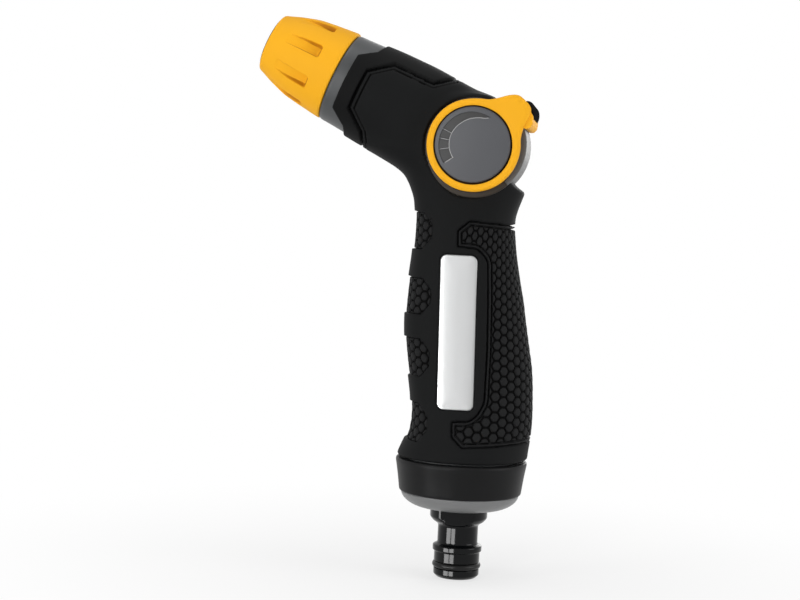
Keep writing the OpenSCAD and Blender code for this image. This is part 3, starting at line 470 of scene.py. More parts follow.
def section(u):
    """Centre of the section at u and the direction of its front ray, in the middle plane.
    The sections lie flat up the handle, fan out round the elbow, then cross the head."""
    z = SKIN_Z + np.clip(u, 0, LEN_A)
    middle = (smooth_curve(z, HANDLE_Z, HANDLE_FRONT) + smooth_curve(z, REAR_Z, HANDLE_REAR)) / 2
    w = np.clip((u - LEN_A) / LEN_B, 0, 1)
    fan = w * ELBOW
    start = smooth_curve(np.array(TOP_Z), HANDLE_Z, HANDLE_FRONT) / 2 \
        + smooth_curve(np.array(TOP_Z), REAR_Z, HANDLE_REAR) / 2 - PIVOT[0]
    reach = start * (1 - w) + REACH_END * w
    s = HEAD_FROM + np.clip(u - LEN_A - LEN_B, 0, None)
    first, last = u <= LEN_A, u > LEN_A + LEN_B
    cx = np.where(last, VALVE[0] + s * OUT[0], PIVOT[0] + reach * np.cos(fan))
    cz = np.where(last, VALVE[2] + s * OUT[2], PIVOT[2] + reach * np.sin(fan))
    cx, cz = np.where(first, middle, cx), np.where(first, z, cz)
    return cx, cz, -np.cos(fan), -np.sin(fan)


def on_skin(u, v):
    """Point where the ray at angle v in section u leaves the skin's form, by halving."""
    cx, cz, ex, ez = section(u)
    dx, dy, dz = np.cos(v) * ex, np.sin(v), np.cos(v) * ez
    low, high = np.zeros_like(dx + cx), np.full_like(dx + cx, RAY_REACH)
    for _ in range(HALVINGS):
        middle = (low + high) / 2
        inside = skin_form(cx + dx * middle, dy * middle, cz + dz * middle) < 0
        low, high = np.where(inside, middle, low), np.where(inside, high, middle)
    return np.stack([cx + dx * low, dy * low, cz + dz * low], -1)


def outward(p, form, h=0.15):
    """Direction in which the form's distance grows fastest, by differences over 2h."""
    x, y, z = p[..., 0], p[..., 1], p[..., 2]
    g = np.stack([form(x + h, y, z) - form(x - h, y, z), form(x, y + h, z) - form(x, y - h, z),
                  form(x, y, z + h) - form(x, y, z - h)], -1)
    return g / np.maximum(np.linalg.norm(g, axis=-1, keepdims=True), 1e-9)


def settle(u, v, measure, levels, place, tries=2):
    """Moves grid points that are within half a cell of a level line of the measure onto it,
    so that edges run along the grid's lines instead of in steps."""
    step_u, step_v = np.gradient(u, axis=0), np.gradient(v, axis=1)
    nu, nv = u.copy(), v.copy()
    for _ in range(tries):
        q = measure(place(nu, nv))
        nearest = levels[np.abs(q[..., None] - levels).argmin(-1)]
        gu, gv = np.gradient(q, axis=0), np.gradient(q, axis=1)
        size = np.maximum(gu**2 + gv**2, 1e-9)
        du, dv = -(q - nearest) * gu / size, -(q - nearest) * gv / size
        moved_u, moved_v = nu + du * step_u, nv + dv * step_v
        near = (np.abs(moved_u - u) < 0.52 * step_u) & (np.abs(moved_v - v) < 0.52 * step_v)
        nu, nv = np.where(near, moved_u, nu), np.where(near, moved_v, nv)
    return nu, nv


def faced(points, cells, u):
    """The cells, wound so that they face away from the centres of their sections."""
    cx, cz, _, _ = section(u)
    return turned_out(points, cells, np.stack([cx, 0 * cx, cz], -1).reshape(-1, 3))


# Outlines as seen from the side, in (x, z), and the band's in (along the head, over its axis)


PALM = softened([(40, 122.6), (14, 124.4), (0.2, 125.4), (-4.1, 121.7), (-3.9, 115.6), (3.2, 115.3),
                 (6.7, 111.7), (7.4, 98.5), (7.9, 81.5), (7.8, 63.5), (5.6, 59.2), (2.8, 57.2),
                 (-3.1, 57.0), (-2.8, 51.2), (1.2, 47.7), (40, 49.9)],
                [0, 1, 0.8, 0.8, 0.6, 1.6, 1.6, 1, 1, 1.6, 1.4, 1.4, 0.6, 0.8, 0.8, 0])
# Lower and upper height of each finger pad, and how far back it reaches
FINGER_ROWS = [(48.2, 61.9, -11.0), (70.3, 84.2, -11.3), (91.9, 105.1, -11.7), (114.3, 127.6, -12.4)]
FINGERS = [softened([(-40, high), (edge - 3.6, high), (edge, high - 4.4), (edge, low + 4.4),
                     (edge - 3.6, low), (-40, low)], [0, 0.6, 0.7, 0.7, 0.6, 0])
           for low, high, edge in FINGER_ROWS]
PLATE_W, PLATE_H, PLATE_CORNER, PLATE_LEAN, PLATE_GAP = 12.6, 53.0, 2.3, 0.022, 0.45
PLATE_X, PLATE_Z = -2.2, (SKIN_Z + VALVE[2]) / 2 - 10
BAND = [(43, 24), (43, 16.3), (44, 13.5), (49.1, 9.6), (49.1, -10.7), (43.6, -14.9), (43, -16.4),
        (43, -24), (36, -24), (36, -16.7), (37.3, -14.1), (44.15, -8.6), (44.15, 6.3),
        (36.6, 12.8), (21.6, 13.0), (16.9, 17.4), (16.6, 24)]


def plate_depth(x, z, grow):
    """Distance inside the plate's rounded oblong, which leans back a little."""
    dz = z - PLATE_Z
    dx = np.abs(x - PLATE_X + PLATE_LEAN * dz) - (PLATE_W / 2 - PLATE_CORNER)
    dz = np.abs(dz) - (PLATE_H / 2 - PLATE_CORNER)
    return PLATE_CORNER + grow - np.hypot(np.maximum(dx, 0), np.maximum(dz, 0)) \
        - np.minimum(np.maximum(dx, dz), 0)


def seats(p):
    """Distance inside whichever of the pads' and plates' seats a point is in."""
    x, z = p[..., 0], p[..., 2]
    deepest = np.maximum(depth_inside(x, z, PALM), plate_depth(x, z, PLATE_GAP))
    for outline in FINGERS:
        deepest = np.maximum(deepest, depth_inside(x, z, outline))
    return deepest


def along_head(p):
    """Distance out along the head and height over its axis."""
    d = p - VALVE
    return d @ OUT, d @ UP


def behind_band(p):
    """Distance from the head band's inner edge, positive on the skin's side."""
    s, t = along_head(p)
    return -depth_inside(s, t, BAND)


def band_groove(band):
    """Depth of the double groove by distance from the band: a deep slot at the band's edge, a
    ridge just under the skin, then a narrower, shallower slot."""
    slot = 1.5 * (1 - step(band, 0.9, 1.02))
    ridge = 0.12 * step(band, 0.9, 1.0) * (1 - step(band, 1.95, 2.2))
    return slot + ridge + 0.75 * step(band, 2.0, 2.25) * (1 - step(band, 2.4, 2.68))


def skin_grid(rows_a, rows_b, rows_c, cols):
    """Grid of section places and ray angles over the whole skin."""
    u = np.concatenate([np.linspace(0, LEN_A, rows_a, endpoint=False),
                        LEN_A + np.linspace(0, LEN_B, rows_b, endpoint=False),
                        LEN_A + LEN_B + np.linspace(0, LEN_C, rows_c)])
    v = even_turn(cols)
    return np.repeat(u[:, None], cols, 1), np.repeat(v[None, :], len(u), 0)


def make_skin():
    """The skin's form sampled on its sections, with seats pressed in for the pads and plates,
    a double groove behind the head band, and openings where other pieces take over."""
    u, v = skin_grid(180, 104, 66, 240)
    u, v = settle(u, v, seats, np.array([0.0]), on_skin)
    head = u > LEN_A + 0.35 * LEN_B
    hu, hv = settle(u, v, behind_band, np.array([0.0, 0.95, 2.05, 2.65]), on_skin)
    u, v = np.where(head, hu, u), np.where(head, hv, v)
    p = on_skin(u, v)
    n = outward(p, skin_form)
    x, z = p[..., 0], p[..., 2]
    seat, plate, band = seats(p), plate_depth(x, z, PLATE_GAP), behind_band(p)
    depth = 1.9 * step(seat, 0.02, 0.3)
    depth = np.where(plate > -0.1, 1.35 * step(plate, 0.02, 0.3), depth)
    near = (along_head(p)[0] > 8) & (seat < 0)
    depth = np.where(near, band_groove(band), depth)
    depth = depth + 0.55 * np.clip((SKIN_Z + 0.8 - z) / 0.8, 0, 1)**2
    shaped = p - n * depth[..., None]
    r = np.hypot(x - VALVE[0], z - VALVE[2])
    turn = np.degrees(np.arctan2(z - VALVE[2], x - VALVE[0]))
    along, over = along_head(p)
    under_pads = ((seat > 1.6) & (plate < -1)) | (plate > 1.2)
    under_rings = (np.hypot(x - HUB[0], z - HUB[2]) < RING_R - 0.2) & (np.abs(p[..., 1]) > 15.5)
    under_lever = (r < 18.05) & (turn > -43) & (turn < 64)
    under_band = (band < -1.0) & (along > 10)
    under_collar = (along > 42.2) & (np.abs(over + HEAD_LOW) > 12.5)
    hidden = under_pads | under_rings | under_lever | under_band | under_collar
    cells = quads(*u.shape, False, True)
    cells = faced(shaped, cells[~hidden.ravel()[cells].all(1)], u)
    # Painted shade: darker where the skin sinks into a seat, near black in the groove's two slots
    groove_slot_shade = np.maximum(0.5 - np.abs(band - 0.5), 0.32 - np.abs(band - 2.3))
    skin = piece("overmould_skin", shaped, [cells], soft_skin, "housing", ["grip_skin"],
                 marks={"sunk": np.where(near, 0, step(depth, 0.35, 0.75)),
                        "groove": np.where(near, groove_slot_shade, -1.0)})
    wall = skin.modifiers.new("wall", "SOLIDIFY")
    wall.thickness, wall.offset = 1.1 * MM, -1
    return skin


make_skin()

# ---- Studded pads ----

STUD_PITCH, STUD_RISE, PALM_COLUMNS = 3.5, 0.78, 9
COLUMN_GAP = STUD_PITCH * math.sqrt(3) / 2


def studs(across, up):
    """Six-sided distance of each point from the middle of the nearest stud, in a field of upright
    columns of which every second stands half a pitch higher. It is half the pitch where two
    studs would meet."""
    column = np.floor(across / COLUMN_GAP)
    best = np.full(np.shape(across), 9.0)
    for k in (0, 1):
        lift = np.mod(column + k, 2) * STUD_PITCH / 2
        da = (across - (column + k) * COLUMN_GAP) * math.sqrt(3) / 2
        dz = np.mod(up - lift + STUD_PITCH / 2, STUD_PITCH) - STUD_PITCH / 2
        sides = np.abs(dz)**9 + np.abs(dz / 2 + da)**9 + np.abs(dz / 2 - da)**9
        best = np.minimum(best, sides**(1 / 9))
    return best


def stud_height(best):
    """Height from 0 to 1 of a stud: nearly flat on top, with a steep eased side."""
    return (1 - step(best, 1.24, 1.56)) * (0.9 + 0.1 * (1 - np.clip(best / 1.4, 0, 1)**2))


def wrapped(p, reference):
    """Share of the way round each section from where x is the reference to the rear middle
    line, so that it is 0 at the reference and 1 at the rear. Each row is summed from the rear
    outwards, on both sides alike."""
    rows, cols = p.shape[:2]
    middle = cols // 2
    out = np.zeros((rows, cols))
    for side in (1, -1):
        half = p[:, middle:, :] if side > 0 else p[:, middle::-1, :]
        leg = np.linalg.norm(np.diff(half, axis=1), axis=2)
        run = np.concatenate([np.zeros((rows, 1)), np.cumsum(leg, 1)], 1)
        x0, x1 = half[:, :-1, 0], half[:, 1:, 0]
        share = np.clip((x0 - reference) / np.where(np.abs(x0 - x1) < 1e-6, 1e-6, x0 - x1), 0, 1)
        whole = (leg * share).sum(1, keepdims=True)
        if side > 0:
            out[:, middle:] = 1 - run / whole
        else:
            out[:, middle::-1] = 1 - run / whole
    return out


def make_palm_pad():
    """Soft pad round the rear of the handle: a raised rim, a fine groove, then the studs."""
    rows, cols = 336, 344
    u = np.repeat(np.linspace(46.8, 126.0, rows)[:, None] - SKIN_Z, cols, 1)
    v = np.repeat(np.linspace(np.pi - 1.86, np.pi + 1.86, cols)[None, :], rows, 0)

    def inset(p):
        return depth_inside(p[..., 0], p[..., 2], PALM)

    u, v = settle(u, v, inset, np.array([0.7, 1.5, 1.95]), on_skin)
    p = on_skin(u, v)
    n = outward(p, skin_form)
    q = inset(p)
    best = studs(wrapped(p, 9.2) * PALM_COLUMNS * COLUMN_GAP, p[..., 2] - 60.5)
    field = stud_height(best) * step(q, 1.95, 2.25)
    rim = step(q, 0.68, 0.78) * (1 - step(q, 1.42, 1.62))
    level = 1.8 - 1.66 * rim - 0.95 * step(q, 1.62, 1.95) - STUD_RISE * field
    shaped = p - n * level[..., None]
    cells = quads(rows, cols)
    cells = faced(shaped, cells[q.ravel()[cells].min(1) > 0.25], u)
    # Painted shade: near black in the fine groove inside the rim and in the gaps between the studs
    return piece("palm_pad_studded", shaped, [cells], stud_rubber, "housing", ["palm_pad"],
                 marks={"sunk": step(q, 1.5, 1.7) * (1 - step(q, 2.0, 2.2)),
                        "gap": np.where(q > 2.1, best, 1.0)})


def make_finger_pads():
    """Four soft pads across the front of the handle, each a patch of studs sunk in its seat."""
    points, cells, sunk, gaps, used = [], [], [], [], 0
    for (low, high, edge), outline in zip(FINGER_ROWS, FINGERS):
        rows, cols = 66, 170
        u = np.repeat(np.linspace(low - 0.4, high + 0.4, rows)[:, None] - SKIN_Z, cols, 1)
        v = np.repeat(np.linspace(-1.2, 1.2, cols)[None, :], rows, 0)

        def inset(p, outline=outline):
            return depth_inside(p[..., 0], p[..., 2], outline)

        u, v = settle(u, v, inset, np.array([0.3]), on_skin)
        p = on_skin(u, v)
        n = outward(p, skin_form)
        q = inset(p)
        leg = np.linalg.norm(np.diff(p, axis=1), axis=2)
        run = np.concatenate([np.zeros((rows, 1)), np.cumsum(leg, 1)], 1)
        run = run - run[:, cols // 2][:, None]
        best = studs(run, p[..., 2] - (low + high) / 2)
        field = stud_height(best) * step(q, 0.3, 0.6)
        level = 1.9 - 0.45 * step(q, 0.28, 0.4) - STUD_RISE * field
        shaped = p - n * level[..., None]
        grid = quads(rows, cols)
        grid = faced(shaped, grid[q.ravel()[grid].min(1) > 0.05], u)
        points.append(shaped.reshape(-1, 3))
        cells.append(grid + used)
        # Painted shade: near black down each pad's edge and in the gaps between its studs
        sunk.append((1 - step(q, 0.3, 0.55)).ravel())
        gaps.append(best.ravel())
        used += rows * cols
    return piece("finger_pads_studded", np.concatenate(points), [np.concatenate(cells)], stud_rubber,
                 "housing", ["finger_pads"],
                 marks={"sunk": np.concatenate(sunk), "gap": np.concatenate(gaps)})


make_palm_pad()
make_finger_pads()

# ---- Side plates ----


def make_plate(name, side, node):
    """Rounded oblong with an eased edge and a faint crown: rings of the outline, each set in
    further and standing a little higher than the last."""
    inner, outer = span(node, 1) if side > 0 else span(node, 1)[::-1]
    base, face = abs(inner), abs(outer)
    insets = np.array([0.0, 0.0, 0.05, 0.15, 0.3, 0.55, 1.2, 2.4, 3.8, 5.2, PLATE_W / 2 - 0.02])
    crown = np.array([-0.4, -0.24, -0.12, -0.05, -0.02, 0, 0.02, 0.03, 0.035, 0.035])
    lift = np.concatenate([[0.0], face - base + crown])
    arc = np.linspace(0, np.pi / 2, 9)
    turn = np.concatenate([arc + k * np.pi / 2 for k in range(4)])
    sx = np.repeat([1, -1, -1, 1], 9)
    sz = np.repeat([1, 1, -1, -1], 9)
    radius = np.maximum(PLATE_CORNER - insets, 0.02)[:, None]
    x = sx * (PLATE_W / 2 - insets[:, None] - radius) + radius * np.cos(turn)
    z = sz * (PLATE_H / 2 - insets[:, None] - radius) + radius * np.sin(turn)
    y = side * (base + lift)[:, None] * np.ones_like(x)
    points = np.stack([PLATE_X + x - PLATE_LEAN * z, y, PLATE_Z + z], -1)
    rows, cols = x.shape
    cells = quads(rows, cols, False, True)
    centre = np.array([PLATE_X, side * (base - 3.0), PLATE_Z])
    cells = turned_out(points, cells, centre)
    back = np.arange(cols)[None, ::-side]
    return piece(name, points, [cells, back], plate_metal, "housing", [node], 40)


make_plate("plate_left", -1, "side_plate_left")
make_plate("plate_right", 1, "side_plate_right")

# ---- Head band ----


def make_head_band():
    """Band round the head: the head's radius sampled along and round it, kept inside the
    band's outline, with its edges rolled down into the grooves."""
    rows, cols = 132, 360
    s = np.repeat(np.linspace(15.6, 50.2, rows)[:, None], cols, 1)
    turn = np.repeat(even_turn(cols)[None, :], rows, 0)

    def place(s, turn):
        radius = smooth_curve(s, HEAD_S, HEAD_R)
        power = 2.0 + 1.9 * step(s, 34, 0)
        c, d = np.cos(turn), np.sin(turn)
        radius = radius / (np.abs(c)**power + np.abs(d)**power)**(1 / power)
        low = HEAD_LOW * step(s, 0, 22)
        return (VALVE + s[..., None] * OUT + (radius * c - low)[..., None] * UP
                - (radius * d)[..., None] * np.array([0, 1.0, 0]))

    def inset(p):
        a, b = along_head(p)
        return depth_inside(a, b, BAND)

    s, turn = settle(s, turn, inset, np.array([0.0, 0.4]), place)
    p = place(s, turn)
    q = inset(p)
    centre = VALVE + s[..., None] * OUT - HEAD_LOW * UP
    away = (p - centre) / np.linalg.norm(p - centre, axis=-1, keepdims=True)
    level = 1.5 * (1 - step(q, -0.3, -0.02)) + 0.22 * (1 - np.clip(q / 0.4, 0, 1))**2
    shaped = p - away * level[..., None]
    cells = quads(rows, cols, False, True)
    cells = cells[q.ravel()[cells].min(1) > -0.5]
    cells = turned_out(shaped, cells, centre.reshape(-1, 3))
    return piece("head_band_rim", shaped, [cells], soft_skin, "housing", ["head_band"])


make_head_band()

# ---- Twist sleeve ----

GRIP_AT, GRIP_HALF, GRIP_CORNER = 67.6, 6.6, 0.9  # middle, half length and corner along the axis
GRIP_PITCH, GRIP_SHIFT, GRIP_SPREAD = 45, 27.5, 8.75  # spacing, offset and half width in degrees


def make_sleeve():
    """Tapered, slightly bellied sleeve with eight sunk finger grips. Each grip is a rounded
    oblong in length and angle, deepest at its rear end and running out towards the tip."""
    outer = np.array([(53.62, 15.3), (53.75, 15.55), (54.1, 15.7), (55.5, 15.62), (57.5, 15.42),
                      (60, 15.12), (62.5, 14.85), (65, 14.5), (67.5, 14.15), (70, 13.55), (73, 12.75),
                      (75.8, 12.0), (78.3, 11.25), (79.8, 10.75)])
    fine_s = np.concatenate([[53.62, 53.68, 53.78, 53.95, 54.3], np.arange(55, 79.9, 0.34)])
    radius = smooth_curve(fine_s, outer[:, 0], outer[:, 1]) + 0.42 * (1 - step(fine_s, 68, 79))
    lip = np.array([(80.25, 10.6), (80.6, 10.38), (80.85, 10.08), (80.97, 9.75), (81.0, 9.45),
                    (80.95, 9.2), (80.8, 9.05), (80.4, 9.02), (76.05, 9.02), (76.0, 9.1), (75.9, 8.45),
                    (74.6, 8.42), (73.0, 11.45), (62.0, 11.45), (60.2, 12.9), (59.6, 12.92),
                    (53.66, 12.92), (53.62, 13.2)])
    profile = np.concatenate([np.stack([radius, fine_s], 1), lip[:, ::-1]])
    profile[:, 1] -= 0.8 * step(profile[:, 1], 74, 80)
    stops, counts = [-22.5, -9.8, -7.2, 7.2, 9.8, 22.5], [9, 9, 14, 9, 9]
    part = np.concatenate([np.linspace(a, b, n, endpoint=False)
                           for a, b, n in zip(stops, stops[1:], counts)])
    around = np.radians(np.concatenate([GRIP_PITCH * k - GRIP_SHIFT + part for k in range(8)]))

    def grip(radius, height, turn):
        """Distance inside the nearest grip's rounded oblong, and how deep it is at that height."""
        off = np.mod(np.degrees(turn) + GRIP_SHIFT + GRIP_PITCH / 2, GRIP_PITCH) - GRIP_PITCH / 2
        a = np.abs(off) * np.pi / 180 * radius - (GRIP_SPREAD * np.pi / 180 * radius - GRIP_CORNER)
        b = np.abs(height - GRIP_AT) - (GRIP_HALF - GRIP_CORNER)
        inside = (GRIP_CORNER - np.hypot(np.maximum(a, 0), np.maximum(b, 0))
                  - np.minimum(np.maximum(a, b), 0))
        outside = (radius > 12.0) & (height > 60) & (height < 75)
        return np.where(outside, inside, -9.0), np.clip((74.6 - height) / 12.6, 0, 1)

    def press(radius, height, turn):
        """Radius less the grip's depth: a steep eased edge, then a floor that sinks on."""
        q, share = grip(radius, height, turn)
        return radius - (2.1 * step(q, -0.08, 0.34) + 0.25 * step(q, 0.3, 1.6)) * share, height, turn

    turn, radius, height = np.broadcast_arrays(around[None, :], profile[:, :1], profile[:, 1:])
    q, share = grip(radius, height, turn)
    # Painted shade along the grips' walls, strongest towards their deep rear ends
    wall_shade_mask = step(q, -0.05, 0.12) * (1 - step(q, 0.3, 0.7)) * np.clip(1.3 * share, 0, 1)
    return lathe("fluted_sleeve", profile, around, VALVE, OUT, yellow_shell, "nozzle",
                 ["nozzle_sleeve"], press, marks={"wall_shade": wall_shade_mask})


def make_collar():
    """Turned grey ring between the head band and the sleeve, narrowing a little outwards."""
    profile = softened([(13.0, 40.0), (16.3, 40.0), (16.5, 43.0), (16.36, 45.4), (16.3, 46.4),
                        (16.15, 48.5), (15.95, 52.6), (15.65, 53.35), (13.4, 53.4)],
                       [0.2, 0.4, 0.8, 0.1, 0.1, 0.8, 0.5, 0.25, 0.1], 6)

    def clear_groove(radius, height, turn):
        """Radius less 1.5 under the band's tongues, so that the ring clears the groove there."""
        cut = step(-np.abs(np.cos(turn)), -0.78, -0.66) * step(-height, -46.3, -45.5)
        return np.where(radius > 14, radius - 1.5 * cut, radius), height, turn

    lathe("collar_ring_turned", profile, even_turn(220), VALVE - 0.25 * UP, OUT, grey_paint, "housing",
          ["head_collar"], clear_groove)


make_sleeve()
make_collar()

# ---- Base and inlet ----


def make_base():
    """Turned base: a flared black cap with eased edges over a rounded grey ring."""
    cap = softened([(19.3, CAP_Z), (20.9, CAP_Z), (21.35, CAP_Z + 0.35), (21.75, CAP_Z + 3.5),
                    (22.35, CAP_Z + 7.5), (22.95, CAP_TOP - 0.9), (22.75, CAP_TOP - 0.1),
                    (21.9, CAP_TOP), (17.2, CAP_TOP), (17.2, CAP_TOP - 3), (19.3, CAP_TOP - 4)],
                   [0.2, 0.3, 0.5, 2, 2, 0.6, 0.5, 0.5, 0.3, 0.3, 0.3], 6)
    lathe("base_cap_turned", cap, even_turn(240), (0, 0, 0), AXIS_Z, black_shell, "housing",
          ["base_cap"])
    low = span("base_ring", 2)[0]
    bend = np.linspace(0, np.pi / 2, 14)
    curve = np.stack([10.9 + 9.75 * np.sin(bend)**0.92,
                      CAP_Z - 0.1 - (CAP_Z - 0.1 - low) * np.cos(bend)**1.1], 1)
    neck = [(20.45, CAP_Z), (19.25, CAP_Z + 0.05), (19.25, CAP_Z + 7), (17.3, CAP_Z + 7),
            (17.2, CAP_Z), (9.1, CAP_Z)]
    ring = np.concatenate([[(9.1, low)], curve, neck])
    lathe("base_ring_turned", ring, even_turn(240), (0, 0, 0), AXIS_Z, ring_paint, "housing",
          ["base_ring"])


def make_inlet():
    """Turned inlet: spigot, O-ring groove, latch flange and neck, and a collar with two flats."""
    profile = softened(
        [(4.5, 0), (6.9, 0), (8.0, 1.1), (8.0, 3.2), (6.3, 3.2), (6.3, 5.6), (8.0, 5.6), (8.0, 9.2),
         (8.6, 9.5), (8.6, 11.3), (7.05, 12.1), (7.05, 18.6), (9.0, 19.9), (10.05, 21.2), (10.05, 24.5),
         (9.0, 24.5), (9.0, 36), (4.5, 36)],
        [0.3, 0.4, 0.35, 0.2, 0.15, 0.15, 0.2, 0.3, 0.25, 0.35, 0.5, 0.8, 0.4, 0.45, 0.15, 0.1,
         0.2, 0.2], 5)

    def flats(radius, height, turn):
        """Radius no greater than a flat face 8 mm from the axis allows, on the collar only."""
        limit = 8.0 / np.maximum(np.abs(np.sin(turn)), 1e-3)
        flat = (height > 18.7) & (height < 24.45)
        ease = blend_min(radius, limit, 0.25)
        return np.where(flat, ease, radius), height, turn

    lathe("inlet_connector", profile, even_turn(256), (0, 0, 0), AXIS_Z, black_gloss, "housing",
          ["inlet_nipple"], flats, sharp=50)


make_base()
make_inlet()

# ---- Thumb lever ----

# The arm's outer radius by angle about the hub
LEVER_TURN = [-180, -90, -30, 0, 8.3, 12.5, 17.2, 21.8, 25.1, 27.9, 30.2, 32.2, 34.9, 38.1, 41.9, 45.4,
              49.7, 52.6, 55.9, 59.3, 62.8, 66.5, 70.9, 76, 82, 120, 180]
LEVER_R = [15.7, 15.75, 15.85, 15.97, 16.05, 16.35, 17.0, 18.1, 19.4, 20.85, 21.75, 22.3, 22.9, 23.1,
           23.05, 22.93, 22.65, 21.95, 20.85, 19.6, 18.35, 17.35, 16.5, 16.0, 15.8, 15.7, 15.7]
RING_IN, WEB = 13.3, 2.2  # inner edge of the ring's crowned face, thickness of the web inside it
# Outline of the bridge as (radius, degrees) about the valve's axis: heel, back and upper edge
BRIDGE = softened([(17.75, 21.2), (18.3, 18.4), (19.6, 17.4), (20.9, 19.2), (21.6, 22.4), (22.3, 26.5),
                   (22.3, 49.6), (18.75, 49.0)], [0.6, 0.4, 0.5, 0.6, 0.8, 1, 0.9, 0.6], 4)
PAD_LOW, PAD_HIGH, RIB_PITCH, RIB_DEPTH = 24.0, 42.6, 2.7, 0.32  # in degrees, the last in millimetres


def lever_edge(turn):
    """The lever arm's outer radius at an angle: a ring with a lug swelling out of it."""
    return smooth_curve(np.mod(np.degrees(turn) + 180, 360) - 180, LEVER_TURN, LEVER_R)


def make_lever():
    """Both arms and the bridge between the lugs. An arm is a cross-section carried round the
    hub's axis: web, seat for the dial, crowned face, rolled edge and flat back, each point a fixed
    radius plus a share of what is left to the arm's edge. The bridge is its outline carried across
    from arm to arm, with both ends closed."""
    points, cells, gap, used = [], [], [], 0
    web = ARM_IN + WEB
    turn = even_turn(320)
    edge = lever_edge(turn)[None, :]
    profile = np.array([
        (6.85, 0, ARM_IN), (6.85, 0, web), (12.9, 0, web), (13.05, 0, web + 0.15),
        (13.2, 0, ARM_OUT - 0.75), (13.3, 0, ARM_OUT - 0.5), (RING_IN, 0.04, ARM_OUT - 0.32),
        (RING_IN, 0.12, ARM_OUT - 0.16), (RING_IN, 0.26, ARM_OUT - 0.05), (RING_IN, 0.42, ARM_OUT),
        (RING_IN, 0.58, ARM_OUT - 0.02), (RING_IN, 0.72, ARM_OUT - 0.1), (RING_IN, 0.84, ARM_OUT - 0.26),
        (RING_IN, 0.93, ARM_OUT - 0.5), (RING_IN, 0.985, ARM_OUT - 0.85), (RING_IN, 1, ARM_OUT - 1.25),
        (RING_IN, 1, ARM_IN + 1.5), (RING_IN, 1, ARM_IN + 0.4), (RING_IN, 0.97, ARM_IN + 0.05),
        (8.0, 0.6, ARM_IN), (6.85, 0, ARM_IN)])
    fixed, shares, height = profile[:-1].T
    for side in (-1, 1):
        radius = fixed[:, None] + shares[:, None] * (edge - fixed[:, None])
        x = HUB[0] + radius * np.cos(turn)
        z = HUB[2] + radius * np.sin(turn)
        y = side * np.repeat(height[:, None], len(turn), 1)
        arm = np.stack([x, y, z], -1)
        grid = closed_out(arm, quads(len(height), len(turn), True, True))
        points.append(arm.reshape(-1, 3))
        cells.append(grid + used)
        # The web and the wall of the seat round the dial are painted dark brown as shade
        gap.append(np.repeat((np.abs(np.arange(len(height)) - 3) <= 2).astype(float), len(turn)))
        used += arm.shape[0] * arm.shape[1]
    loop = np.linspace(BRIDGE, np.roll(BRIDGE, -1, 0), 4, endpoint=False, axis=1).reshape(-1, 2)
    across = np.linspace(-(ARM_OUT - 1.2), ARM_OUT - 1.2, 9)
    a = np.radians(loop[:, 1])
    ring = np.stack([VALVE[0] + loop[:, 0] * np.cos(a), 0 * a, VALVE[2] + loop[:, 0] * np.sin(a)], -1)
    bridge = np.repeat(ring[None], len(across), 0)
    bridge[..., 1] = across[:, None]
    grid = turned_out(bridge, quads(*bridge.shape[:2], False, True),
                      np.array([VALVE[0] + 20.6 * math.cos(0.62), 0, VALVE[2] + 20.6 * math.sin(0.62)]))
    points.append(bridge.reshape(-1, 3))
    n = len(loop)
    ends = np.stack([np.arange(n), np.arange(n)[::-1] + (len(across) - 1) * n])
    lid = np.cross(bridge[0, n // 4] - bridge[0, 0], bridge[0, n // 2] - bridge[0, 0])[1]
    cells.append(grid + used)
    lids = (ends if lid < 0 else ends[:, ::-1]) + used
    gap.append(np.zeros(bridge.size // 3))
    return piece("thumb_lever", np.concatenate(points), [np.concatenate(cells), lids], yellow_shell,
                 "lever", ["lever_yoke"], 40, {"gap": np.concatenate(gap)})


def make_thumb_pad():
    """Glossy rest on the bridge: a swell that rolls off at both ends, with six soft ribs across
    it, rounded off towards the arms."""
    half = span("thumb_pad", 1)[1]
    rows, cols = 141, 41
    deg = np.linspace(PAD_LOW, PAD_HIGH, rows)
    swell = smooth_curve(deg, [24.0, 25.6, 27.6, 30.5, 33.5, 36, 38.6, 40.2, 41.6, 42.6],
                         [21.7, 22.5, 23.2, 23.9, 24.3, 24.3, 24.05, 23.65, 22.95, 22.0])
    rib = 0.5 + 0.5 * np.cos(2 * np.pi * (deg - 25.9) / RIB_PITCH)
    rib = rib * step(deg, 25.6, 27.4) * step(-deg, -40.8, -39.2)
    y = half * np.sin(np.linspace(-np.pi / 2, np.pi / 2, cols))
    drop = 0.5 * np.clip((np.abs(y) / half - 0.95) / 0.05, 0, 1)**2
    inner = 1 - step(np.abs(y) / half, 0.74, 0.9)
    radius = np.maximum(swell[:, None] - RIB_DEPTH * rib[:, None] * inner[None, :] - drop[None, :], 21.2)
    turn = np.radians(deg)[:, None]

    def at(radius):
        """Points at these radii and the rows' angles about the valve's axis."""
        across = np.broadcast_to(y[None], (rows, cols))
        return np.stack([VALVE[0] + radius * np.cos(turn), across, VALVE[2] + radius * np.sin(turn)], -1)

    shell = np.concatenate([at(radius), at(np.full_like(radius, 20.9))[:, ::-1]], 1)
    cells = closed_out(shell, quads(rows, 2 * cols, False, True))
    ends = np.arange(rows * 2 * cols).reshape(rows, 2 * cols)
    lid = np.cross(shell[0, cols - 1] - shell[0, 0], shell[0, cols] - shell[0, cols - 1])
    caps = [ends[:1], ends[-1:, ::-1]] if np.dot(lid, shell[0, 0] - shell[5, 0]) > 0 \
        else [ends[:1, ::-1], ends[-1:]]
    return piece("thumb_pad_ribs", shell, [cells] + caps, thumb_rubber, "lever",
                 ["thumb_pad"])


